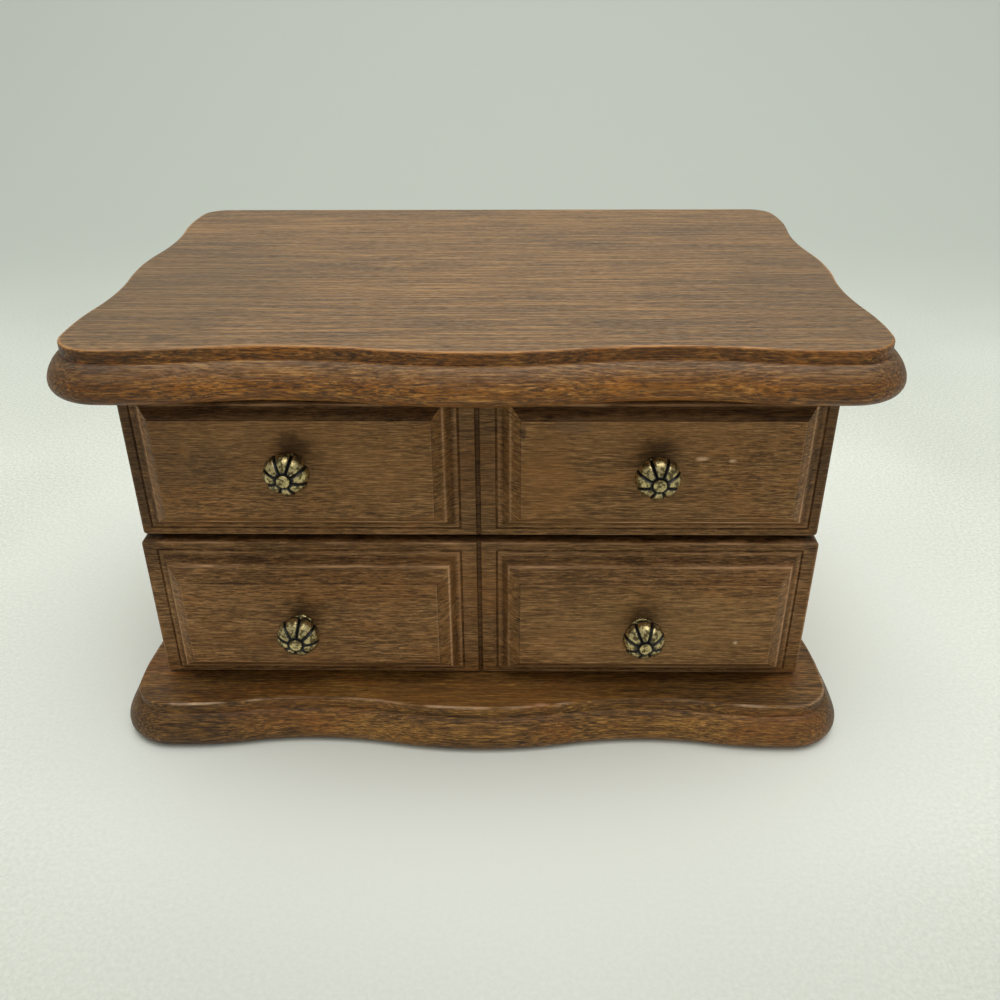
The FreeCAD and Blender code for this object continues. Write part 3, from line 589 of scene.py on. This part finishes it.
# the upright step and its eased arris: (out, height, wear)
STEP = [(0.0, 13.3, 0.0), (0.0, 15.0, 0.0), (0.0, 16.85, 0.0), (-0.04, 17.05, 0.5), (-0.16, 17.3, 1.0),
        (-0.5, 17.48, 1.0), (-0.85, 17.5, 0.5), (-1.2, 17.5, 0.0), (-2.5, 17.5, 0.0)]
QUIRK_HEIGHT, ARRIS_HEIGHT, FLAT_HEIGHT = 13.15, 17.0, 17.3
TOP_BOARD_FOOT, BOARD_SHARP, HOLE_STEPS = 142.5, 40, 24


def board_rub(point, foot, wear, worn, general):
    """Wear at a point of the arris: uneven all round, and more on the stretches named in worn."""
    rub = wear * max(0.0, general + 0.8 * wobble(point.x * 0.035 + 7, point.y * 0.035, foot * 0.1))
    for start, end, strength in worn:
        if point.y < -80 and start < point.x < end:
            taper = min(1.0, (point.x - start) / 5, (end - point.x) / 5)
            rub = max(rub, wear * strength * taper * (0.9 + 0.4 * wobble(point.x * 0.3, 4.0)))
    return min(rub, 1.0)


def board_grime_and_painted_shade(point, foot, out, height, ragged, step_darkening):
    """Painted shade in the quirk and round the foot of the nose, patchy darkening on the step, and
    grime at the ends of the nose.
    """
    # painted shade in the quirk
    darkening = max(0.0, 1 - abs(height - QUIRK_HEIGHT) / 0.3) * 0.6 if out < 0.4 else 0.0
    # patchy darkening on the step
    if 13.2 < height < ARRIS_HEIGHT and out <= 0:
        patchy = 0.6 + 0.7 * wobble(point.x * 0.03 + 2, point.y * 0.03, foot * 0.2)
        darkening = max(darkening, step_darkening * clamp(patchy + 0.25 * ragged))
    # grime towards the ends of the nose, and painted shade round its foot
    if height < ARRIS_HEIGHT:
        end = clamp((abs(point.x) - 85) / 45)
        under = max(0.0, 1 - height / 5) * (0.55 if foot == 0 and point.x < 20 else 0.3)
        darkening = max(darkening, 0.34 * end * (1.3 if point.x < 0 else 0.9) + under * (0.7 + 0.8 * ragged))
    return darkening


def board_dust_sheen(out, height, dust_sheen_share):
    """A dusty haze with painted sheen, in full on the flat top and thinning down the nose, where it
    paints the highlights of the nose's upper half.
    """
    if height > FLAT_HEIGHT:
        return dust_sheen_share
    return dust_sheen_share * 0.8 * clamp((height - 7) / 5) if out > 0.6 else 0.0


def moulded_board(name, foot, node, material, worn, general, step_darkening, dust_sheen_share, holes=()):
    """A board with nose and step: worn lists rubbed stretches in front, (from, to, strength)."""
    shape, ring, dust_sheen, rows = Shape(), outline(), [], []
    for out, height, wear in [(out, height, 0.0) for out, height in smooth_line(NOSE)] + STEP:
        row = []
        for point, normal in ring:
            ragged = wobble(point.x * 0.12, point.y * 0.12, foot)
            place = point + normal * (out - (0.12 * (ragged + 0.5) if wear else 0.0))
            row.append(shape.add((place.x, place.y, foot + height),
                                 board_rub(point, foot, wear, worn, general),
                                 board_grime_and_painted_shade(point, foot, out, height, ragged, step_darkening)))
            dust_sheen.append(board_dust_sheen(out, height, dust_sheen_share))
        rows.append(row)
    shape.tube(rows, foot=not holes)
    made = piece(name, shape, material, node, BOARD_SHARP,
                 dict(shape.marks(), dust_sheen=dust_sheen))
    if holes:
        fill_foot(made, holes)


def fill_foot(made, holes):
    """Closes the underside round sunk screw holes: (x, y, radius, depth)."""
    shaped = bmesh.new()
    shaped.from_mesh(made.data)
    rim = [edge for edge in shaped.edges if edge.is_boundary]
    for x, y, radius, depth in holes:
        low, high = [[shaped.verts.new(((x + radius * math.cos(math.tau * n / HOLE_STEPS)) * MM,
                                        (y + radius * math.sin(math.tau * n / HOLE_STEPS)) * MM,
                                        height * MM)) for n in range(HOLE_STEPS)]
                     for height in (0.0, depth)]
        rim += [shaped.edges.new((low[n], low[(n + 1) % HOLE_STEPS])) for n in range(HOLE_STEPS)]
        for n in range(HOLE_STEPS):
            after = (n + 1) % HOLE_STEPS
            shaped.faces.new((low[n], low[after], high[after], high[n]))
        shaped.faces.new(high)
    bmesh.ops.triangle_fill(shaped, use_beauty=True, use_dissolve=False, edges=rim)
    bmesh.ops.recalc_face_normals(shaped, faces=shaped.faces)
    harden(shaped, BOARD_SHARP)
    shaped.to_mesh(made.data)
    shaped.free()


POSTS = [(sign * 117.0, depth) for sign in (-1, 1) for depth in (-31.4, 60.5)]
# the top board carries the full haze with painted sheen; the base, under the overhang, little
moulded_board("moulded_top", TOP_BOARD_FOOT, "top_board", board_wood,
              [(-60, 20, 0.6), (40, 110, 0.5)], general=0.35, step_darkening=0.45, dust_sheen_share=1.0)
moulded_board("moulded_base", 0.0, "base_board", base_wood,
              [(-120, -97, 1.0), (-92, -80, 0.45), (-22, 6, 0.9), (6, 22, 0.5), (28, 36, 0.9),
               (96, 110, 1.0)],
              general=0.0, step_darkening=0.15, dust_sheen_share=0.12, holes=[(x, y, 3.7, 1.9) for x, y in POSTS])


# Plain boards with eased edges, made from the nodes themselves

EASED_OVER, SMOOTH_UNDER = 20, 50


def eased(node, name, material, ease=0.35):
    """A stand-in of the node's own shape, with its flat faces joined and its edges rounded."""
    mesh = frame["nodes"][node].data.copy()
    mesh.name = name
    shaped = bmesh.new()
    shaped.from_mesh(mesh)
    bmesh.ops.remove_doubles(shaped, verts=shaped.verts, dist=SLIVER)
    bmesh.ops.dissolve_limit(shaped, angle_limit=math.radians(1), verts=shaped.verts,
                             edges=shaped.edges)
    hard = [edge for edge in shaped.edges
            if len(edge.link_faces) == 2 and edge.calc_face_angle(0.0) > math.radians(EASED_OVER)]
    made = bmesh.ops.bevel(shaped, geom=hard, offset=ease * MM, segments=2, profile=0.5,
                           affect="EDGES", clamp_overlap=True)
    wear = shaped.verts.layers.float.new("wear")
    for face in made["faces"]:
        for vert in face.verts:
            vert[wear] = max(0.0, 0.35 + 0.5 * wobble(vert.co.x * 30, vert.co.y * 30, vert.co.z * 30))
    shade_smooth(shaped, SMOOTH_UNDER)
    shaped.to_mesh(mesh)
    shaped.free()
    mesh.materials.clear()
    stand_in(name, mesh, material, node)


for side in ("left", "right"):
    eased("side_" + side, "case_side_" + side, case_wood)
eased("drawer_divider", "case_divider", divider_wood, 0.3)
eased("back_panel", "case_back", plywood, 0.25)
for row in ("upper", "lower"):
    for side in ("left", "right"):
        eased("%s_drawer_side_%s" % (row, side), "%s_box_side_%s" % (row, side), pale_wood,
              0.5)
    eased(row + "_drawer_back", row + "_box_back", pale_cross, 0.5)
    eased(row + "_drawer_floor", row + "_box_floor", plywood, 0.2)


# Drawer fronts. A rise is how far a point stands forward of the front's flat face.

# side, low and high are the flat rims round a panel, ridge is how far in its ridge lies, and drop is
# how much lower the field's head is than its border says
FRONTS = {"upper": dict(half=124.0, height=62.0, foot=80.0, face=-72.2, side=3.6, low=2.9, high=2.4,
                        ridge=5.2, drop=0.7),
          "lower": dict(half=124.5, height=60.4, foot=18.2, face=-74.7, side=5.3, low=1.8, high=3.1,
                        ridge=4.6, drop=1.2)}
FRONT_THICK, FIELD_RISE, PANEL_FROM_MIDDLE = 11.0, 8.0, 6.2
STEPS_ACROSS, STEPS_UP = 56, 28

# from the back to the flat face: (inset, rise, groove's half width, groove's rise, wear)
FRONT_OUTSIDE = [(0.4, -FRONT_THICK, 0.0, -FRONT_THICK, 0.0),
                 (0.0, -FRONT_THICK + 0.4, 0.0, -FRONT_THICK, 0.0),
                 (0.0, -2.7, 0.0, -FRONT_THICK + 1.6, 0.0), (0.0, -1.0, 0.0, -1.4, 0.1)]
FRONT_INSIDE = [(0.3, -0.3, 0.55, -1.4, 0.6), (0.62, -0.06, 0.8, -1.0, 0.5),
                (1.0, 0.0, 0.9, -0.15, 0.1), (1.15, 0.0, 1.1, 0.0, 0.0)]


def rectangle(left, right, foot, head, radius, rise, groove_x=None, groove_rise=None):
    """Points round a rectangle, square on the groove side: (across, up, rise, lies on the groove)."""
    corners = ((left, foot, 1, 1, 180), (right, foot, -1, 1, 270), (right, head, -1, -1, 0),
               (left, head, 1, -1, 90))
    arcs = []
    for x, z, inward, upward, angle in corners:
        bend = 0.0 if x == groove_x else radius
        middle_x, middle_z = x + inward * bend, z + upward * bend
        turns = [math.radians(angle + 22.5 * step) for step in range(5)]
        arcs.append([(middle_x + bend * math.cos(turn), middle_z + bend * math.sin(turn))
                     for turn in turns])
    found = []
    for number, count in enumerate((STEPS_ACROSS, STEPS_UP, STEPS_ACROSS, STEPS_UP)):
        found += arcs[number]
        start, end = arcs[number][-1], arcs[(number + 1) % 4][0]
        shares = [0.002] + [step / count for step in range(2, count - 1)] + [0.998]
        found += [(start[0] + (end[0] - start[0]) * share, start[1] + (end[1] - start[1]) * share)
                  for share in shares]
    placed = []
    for x, z in found:
        on_groove = groove_x is not None and abs(x - groove_x) < 1e-6
        placed.append((x, z, groove_rise if on_groove else rise, on_groove))
    return placed


def panel_profile(ridge):
    """One raised panel from its quirk inwards: (inset, rise, wear, shade). The shade is painted shade
    in the quirk, down the flank and in the line at the field's edge; the ridge's wear is partly a
    painted highlight.
    """
    profile = [(0.0, 0.0, 0.1, 0.15), (0.1, -0.3, 0.0, 0.4), (0.35, -0.5, 0.0, 0.6),
               (0.6, -0.35, 0.0, 0.45), (0.8, 0.05, 0.0, 0.2), (1.0, 0.3, 0.35, 0.0),
               (1.45, 0.45, 0.25, 0.0), (2.0, 0.55, 0.0, 0.05), (2.4, 0.62, 0.0, 0.35),
               (2.7, 0.85, 0.0, 0.6)]
    # painted shade down the flank under the ridge; the ridge's wear is partly a painted highlight along
    # it
    flank = ridge - 2.7
    profile += [(2.7 + flank * 0.15, 1.3, 0.0, 0.55), (2.7 + flank * 0.45, 2.3, 0.0, 0.42),
                (2.7 + flank * 0.75, 3.3, 0.0, 0.25), (2.7 + flank * 0.93, 3.85, 0.4, 0.05),
                (ridge + 0.05, 4.15, 1.0, 0.0), (ridge + 0.35, 4.32, 0.8, 0.0),
                (ridge + 0.7, 4.52, 0.1, 0.0)]
    slope = 8.85 - ridge
    profile += [(ridge + slope * share, 4.1 + 3.5 * share, 0.0, 0.0) for share in (0.4, 0.7)]
    # painted shade in the line where the slope meets the field
    return profile + [(8.85, 7.6, 0.0, 0.35), (9.0, 7.64, 0.0, 0.8), (9.1, 7.9, 0.1, 0.35),
                      (9.25, FIELD_RISE, 0.3, 0.0), (9.7, FIELD_RISE, 0.0, 0.0)]


def front_painted_shade(row, x, z, rise, lowest, highest, shade):
    """Painted shade at a point of a ring that reaches from lowest to highest: the profile's own in
    creases and flanks, and more on the slopes, the top edge and the rim.
    """
    facts = FRONTS[row]
    upper = row == "upper"
    darkening = shade * clamp(0.75 + 0.9 * wobble(x * 0.06, z * 0.06 + 5, facts["foot"] * 0.7))
    # the slope over the field, under the board or the upper front: painted shadow of the board's
    # overhang on the upper front, patchy darkening on the lower
    if z > highest - 0.05 and 0.6 < rise < 7.95:
        darkening = max(darkening, 0.78 if upper else 0.14 + 0.3 * max(0.0, wobble(x * 0.11, z, 7)))
    # painted shade on the slope under the field, which faces down
    if z < lowest + 0.05 and 0.6 < rise < 7.8:
        darkening = max(darkening, 0.18 if upper else 0.4)
    # painted shade on the front's own top edge, seen in the gap between the fronts, and darker along
    # the lower front's rim below it
    if z > facts["height"] - 0.6 and rise < -0.2:
        darkening = max(darkening, 0.8 if -4 < rise < -2 else 0.25)
    if not upper and -0.1 < rise < 0.7 and z > facts["height"] - 4.5:
        darkening = max(darkening, 0.24)
    return darkening


def drawer_front(row):
    """Two raised panels side by side with a groove between their boards."""
    facts = FRONTS[row]
    face, foot, tall, ridge = facts["face"], facts["foot"], facts["height"], facts["ridge"]
    shape = Shape()

    def ring(placed, wear, shade, ragged=0.0):
        heights = [point[1] for point in placed]
        ends = min(heights), max(heights)
        numbers = []
        for x, z, rise, _ in placed:
            shift = ragged * wobble(x * 0.17, z * 0.17, foot)
            rub = wear * max(0.0, 0.6 + 0.9 * wobble(x * 0.05 + 3, z * 0.05, foot * 0.3))
            numbers.append(shape.add((x, face - rise - shift, foot + z), min(rub, 1.0),
                                     front_painted_shade(row, x, z, rise, *ends, shade)))
        return numbers

    for sign in (-1, 1):
        outer = sign * facts["half"]
        rows = []
        for inset, rise, groove_half, groove_rise, wear in FRONT_OUTSIDE + FRONT_INSIDE:
            ends = sorted((outer - sign * inset, sign * groove_half))
            placed = rectangle(ends[0], ends[1], inset, tall - inset, max(1.5 - inset, 0.4), rise,
                               sign * groove_half, groove_rise)
            made = ring(placed, wear, 0.0)
            # painted shade in the groove between the halves, and darker round the front's outer edges
            for index, (_, _, depth, on_groove) in zip(made, placed):
                if on_groove and -2 < depth < -0.5:
                    shape.shade[index] = 0.5
                    shape.wear[index] = 0.0
                elif inset < 0.5:
                    shape.shade[index] = max(shape.shade[index], 0.4)
            rows.append(made)
        # the two halves meet at the groove, so there is no wall between them behind it
        on_groove = [point[3] for point in placed]
        for number, (first, second) in enumerate(zip(rows, rows[1:])):
            behind = number < len(FRONT_OUTSIDE) - 1
            shape.strip(first, second, True,
                        (lambda a, b: on_groove[a] and on_groove[b]) if behind else None)
        panel_rows = []
        for inset, rise, wear, shade in panel_profile(ridge):
            ends = sorted((outer - sign * (facts["side"] + inset), sign * (PANEL_FROM_MIDDLE + inset)))
            drop = facts["drop"] * clamp((inset - ridge) / (9.1 - ridge))
            placed = rectangle(ends[0], ends[1], facts["low"] + inset,
                               tall - facts["high"] - inset - drop, 0.0, rise)
            panel_rows.append(ring(placed, wear, shade, 0.08 if wear > 0.7 else 0.03))
        shape.tube([rows[-1]] + panel_rows, foot=False)
        shape.faces.append(tuple(reversed(rows[0])))
    piece(row + "_front_panelled", shape, front_wood, row + "_drawer_front",
          sharp=28)


for row in FRONTS:
    drawer_front(row)


# Knobs

KNOB_WIDE, KNOB_REACH, KNOB_MIDDLE = 7.9, 5.6, 8.2
KNOB_LOBES, KNOB_STEPS, BELLY_STEPS = 8, 160, 26
STEM, BELLY, COLLAR, BUTTON = range(4)


def knob_profile():
    """(radius, height, part) from the wood outwards."""
    profile = [(4.2, 0.0, STEM), (4.2, 0.7, STEM), (4.0, 1.05, STEM), (3.6, 1.25, STEM),
               (3.1, 1.5, STEM), (2.95, 2.1, STEM)]
    first, last = -math.acos(3.0 / KNOB_WIDE), math.acos(2.75 / KNOB_WIDE)
    for number in range(BELLY_STEPS + 1):
        angle = first + (last - first) * number / BELLY_STEPS
        profile.append((KNOB_WIDE * math.cos(angle), KNOB_MIDDLE + KNOB_REACH * math.sin(angle), BELLY))
    top = KNOB_MIDDLE + KNOB_REACH * math.sin(last)
    profile += [(2.6, top - 0.55, COLLAR), (2.42, top - 0.6, COLLAR), (2.3, top - 0.2, COLLAR)]
    return profile + [(radius, top + rise, BUTTON) for radius, rise in
                      ((2.28, 0.35), (2.12, 0.62), (1.8, 0.74), (1.35, 0.66), (0.95, 0.5),
                       (0.5, 0.42), (0.2, 0.4))]


def lobed(radius, height, angle, turn):
    """A point of the belly with its groove sunk in: (radius, height, shade)."""
    edge = abs(2 * (((angle - turn) * KNOB_LOBES / math.tau) % 1.0) - 1)
    width = 1.05 / max(radius, 1.5) * KNOB_LOBES / math.pi
    sharp = clamp((edge - (1 - width)) / width) if width < 1 else edge
    sink = 0.16 * edge ** 2 + 0.75 * sharp ** 1.5
    slope = math.asin(max(-1.0, min(1.0, (height - KNOB_MIDDLE) / KNOB_REACH)))
    shade = clamp((sharp - 0.12) * 1.9)
    # painted shade on the belly's back half, towards the wood, and black patina round the button
    if height < KNOB_MIDDLE + 0.6:
        shade = max(shade, min(0.95, 0.3 + 0.3 * (KNOB_MIDDLE + 0.6 - height)))
    if radius < 3.9 and height > KNOB_MIDDLE:
        shade = max(shade, min(1.0, (3.9 - radius) * 0.9))
    return radius - sink * math.cos(slope), height - sink * math.sin(slope) * 0.8, shade


def knob(name, node, x, y, z, turn):
    """A melon knob with eight lobes, black grooves and a dimpled button, its axis along -Y."""
    shape = Shape()
    rows = []
    for radius, height, part in knob_profile():
        row = []
        for number in range(KNOB_STEPS):
            angle = math.tau * number / KNOB_STEPS
            reach, along, shade = radius, height, 0.0
            if part == BELLY:
                reach, along, shade = lobed(radius, height, angle, turn)
            elif part == COLLAR:
                shade = 1.0
            elif part == BUTTON and radius < 1.2:
                shade = 0.35
            reach *= 1 + 0.008 * wobble(radius * 0.7 + x, angle * 2.2, height * 0.5)
            row.append(shape.add((x + reach * math.sin(angle), y - along, z + reach * math.cos(angle)),
                                 0.0, shade))
        rows.append(row)
    shape.tube(rows)
    piece(name, shape, brass, node, sharp=50)


for (row, side), (x, z, turn) in KNOBS.items():
    knob("%s_melon_%s" % (row, side), "%s_knob_%s" % (row, side), x,
         FRONTS[row]["face"] - FIELD_RISE, z, math.radians(turn))


# Screws, dowels and pins

def turned_set(name, node, material, profile, centres, axis, sharp, steps=32):
    """Equal turned solids as one piece: the profile is (radius, along the axis, shade)."""
    shape = Shape()
    axis = Vector(axis)
    across = Vector((1, 0, 0))
    other = axis.cross(across)
    for centre in centres:
        rows = []
        for radius, along, shade in profile:
            rows.append([])
            for number in range(steps):
                angle = math.tau * number / steps
                out = across * math.cos(angle) + other * math.sin(angle)
                rows[-1].append(shape.add(Vector(centre) + axis * along + out * radius, 0.0, shade))
        shape.tube(rows)
    return piece(name, shape, material, node, sharp)


def slotted(made, cuts):
    """Takes straight slots out of screw heads: each cut is (centre, size) in millimetres."""
    for centre, lengths in cuts:
        mesh = bpy.data.meshes.new("slot_tool")
        tool = bmesh.new()
        bmesh.ops.create_cube(tool, size=1.0, matrix=Matrix.Translation(Vector(centre) * MM)
                              @ Matrix.Diagonal([length * MM for length in lengths] + [1.0]))
        tool.to_mesh(mesh)
        tool.free()
        helper = add_object("slot_tool", mesh)
        taking = made.modifiers.new("slot", "BOOLEAN")
        taking.operation, taking.solver, taking.object = "DIFFERENCE", "EXACT", helper
        bpy.context.view_layer.update()
        dented = made.evaluated_get(bpy.context.evaluated_depsgraph_get())
        result = bpy.data.meshes.new_from_object(dented)
        made.modifiers.clear()
        made.data = result
        bpy.data.objects.remove(helper)


UP, BACKWARDS = (0, 0, 1), (0, 1, 0)
ALONG_X, ALONG_Y = (5.6, 0.8, 1.2), (0.8, 5.6, 1.2)
base_screws = turned_set(
    "base_screws_slotted", "base_screws", steel,
    [(3.45, 0.0, 0.0), (3.6, 0.2, 0.0), (1.85, 1.8, 0.3), (1.75, 2.2, 0.3), (1.75, 28.0, 0.2),
     (0.3, 32.0, 0.2)], [(x, y, 0.0) for x, y in POSTS], UP, 30)
slotted(base_screws, [((x, y, 0.2), ALONG_X if (x > 0) == (y > 0) else ALONG_Y) for x, y in POSTS])

for row in FRONTS:
    inner_face = FRONTS[row]["face"] + FRONT_THICK
    places = [KNOBS[row, side][:2] for side in ("left", "right")]
    knob_screws = turned_set(
        row + "_screws_slotted", row + "_knob_screws", steel,
        [(1.45, -23.0, 0.1), (1.45, 0.0, 0.1), (3.05, 0.02, 0.1), (3.2, 0.3, 0.0), (3.1, 0.9, 0.0),
         (2.6, 1.4, 0.0), (1.6, 1.6, 0.0)], [(x, inner_face, z) for x, z in places], BACKWARDS, 35)
    slotted(knob_screws, [((x, inner_face + 1.5, z), (5.4, 1.3, 0.8)) for x, z in places])

turned_set("board_dowels", "top_dowels", pale_wood,
           [(2.5, 133.5, 0.0), (3.0, 134.2, 0.0), (3.0, 150.8, 0.0), (2.5, 151.5, 0.0)],
           [(x, y, 0.0) for x, y in POSTS], UP, 30)
turned_set("back_panel_pins", "back_pins", pin_brass,
           [(0.1, -12.0, 0.0), (0.55, -10.6, 0.0), (0.6, 0.0, 0.0), (1.1, 0.03, 0.2), (1.2, 0.2, 0.0),
            (0.95, 0.4, 0.0), (0.5, 0.5, 0.0)],
           [(x, 90.0, 31.5 + number * 97.0 / 3) for x in (-114.75, 114.75) for number in range(4)],
           BACKWARDS, 40, 20)


# Felt linings

FELT_ACROSS, FELT_ALONG = 70, 44


def felt_sheet(row):
    """A thin sheet that fills the box of its CAD node, with an uneven top and soft edges."""
    low, high = (Vector(point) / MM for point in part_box(row + "_drawer_felt"))
    shape = Shape()
    rims = []
    layers = []
    for top in (False, True):
        rows = []
        for j in range(FELT_ALONG + 1):
            line = []
            for i in range(FELT_ACROSS + 1):
                x = low.x + (high.x - low.x) * i / FELT_ACROSS
                y = low.y + (high.y - low.y) * j / FELT_ALONG
                at_rim = min(i, j, FELT_ACROSS - i, FELT_ALONG - j) == 0
                if at_rim:
                    x += 0.12 * wobble(x * 0.4, y * 0.4, 3)
                    x = min(max(x, low.x), high.x)
                soft = (0.5 + 0.5 * wobble(x * 0.05, y * 0.05, 9)) * 0.16 + (0.22 if at_rim else 0.0)
                line.append(shape.add((x, y, high.z - soft if top else low.z)))
            rows.append(line)
        layers.append(rows)
        rims.append(rows[0][:-1] + [line[-1] for line in rows[:-1]]
                    + rows[-1][:0:-1] + [line[0] for line in rows[:0:-1]])
    for rows in layers:
        shape.sheet(rows)
    shape.strip(*rims)
    made = piece(row + "_felt_lining", shape, felt, row + "_drawer_felt", sharp=50,
                 marks={})


for row in FRONTS:
    felt_sheet(row)


# Floor, lights and camera

def backdrop():
    """A pale sheet that lies under the chest and sweeps up behind it: its lengths are in metres."""
    near, bend, radius, head, steps = -1.6, 0.55, 0.7, 2.4, 16
    line = [(near, 0.0), (0.0, 0.0), (bend, 0.0)]
    for number in range(1, steps + 1):
        angle = math.pi / 2 * number / steps
        line.append((bend + radius * math.sin(angle), radius * (1 - math.cos(angle))))
    line.append((bend + radius, head))
    shape = Shape()
    shape.sheet([[shape.add((x / MM, y / MM, z / MM - 0.05)) for x in (-2.4, -1.2, 0.0, 1.2, 2.4)]
                 for y, z in line])
    mesh = shape.mesh("studio_sheet")
    for face in mesh.polygons:
        face.use_smooth = True

    material, tree, shader = start_material("studio_paper")
    place = object_place(tree)
    speck = noise_node(tree, place, (620, 620, 620), 3, 0.7)
    cloud = noise_node(tree, place, (5, 5, 5), 2, 0.5)
    tone = math_node(tree, "MULTIPLY_ADD", cloud, 0.3, math_node(tree, "MULTIPLY", speck, 0.7))
    paper = ramp(tree, tone, [(0.35, colour(194, 198, 187)), (0.65, colour(234, 237, 227))])
    parts = tree.nodes.new("ShaderNodeSeparateXYZ")
    feed(tree, place, parts.inputs["Vector"])
    # painted light round the chest, filling its shadow on the sheet, and painted shade towards the
    # viewer and up towards the back
    painted_light_near_chest = spread(tree, length_of(tree, place), 0.13, 0.30)
    paper = mix(tree, painted_light_near_chest, colour(242, 244, 235), paper)
    before = spread(tree, parts.outputs["Y"], -0.215, -0.12, 0.46, 0.0)
    paper = mix(tree, before, paper, colour(186, 190, 179))
    paper = mix(tree, spread(tree, parts.outputs["Y"], 0.05, 0.7), paper, colour(184, 189, 180))
    feed(tree, paper, shader.inputs["Base Color"])
    shader.inputs["Roughness"].default_value = 0.75
    mesh.materials.append(material)
    add_object("studio_sheet", mesh)


backdrop()

lamp_data = bpy.data.lights.new("ceiling", "AREA")
lamp_data.shape = "RECTANGLE"
lamp_data.size, lamp_data.size_y = 2.4, 2.0
lamp_data.energy = 31
lamp = add_object("ceiling", lamp_data)
lamp.location = (0.1, 0.15, 1.7)
lamp.rotation_euler = (Vector((0, 0, 0.1)) - lamp.location).to_track_quat("-Z", "Y").to_euler()

world = bpy.data.worlds.new("studio")
bpy.context.scene.world = world
world.use_nodes = True
sky = world.node_tree.nodes["Background"]
sky.inputs["Color"].default_value = (0.93, 0.96, 0.92, 1)
sky.inputs["Strength"].default_value = 0.5

camera_data = bpy.data.cameras.new("photo_camera")
camera_data.sensor_width = 36.0
camera_data.lens = 35.15
camera = add_object("photo_camera", camera_data)
camera.location = (0.0124, -0.37875, 0.26724)
camera.rotation_euler = (Matrix.Rotation(math.radians(0.85), 3, "Z")
                         @ Matrix.Rotation(math.radians(60.68), 3, "X")
                         @ Matrix.Rotation(math.radians(-0.29), 3, "Z")).to_euler()
bpy.context.scene.camera = camera
bpy.context.scene.view_settings.view_transform = "Standard"
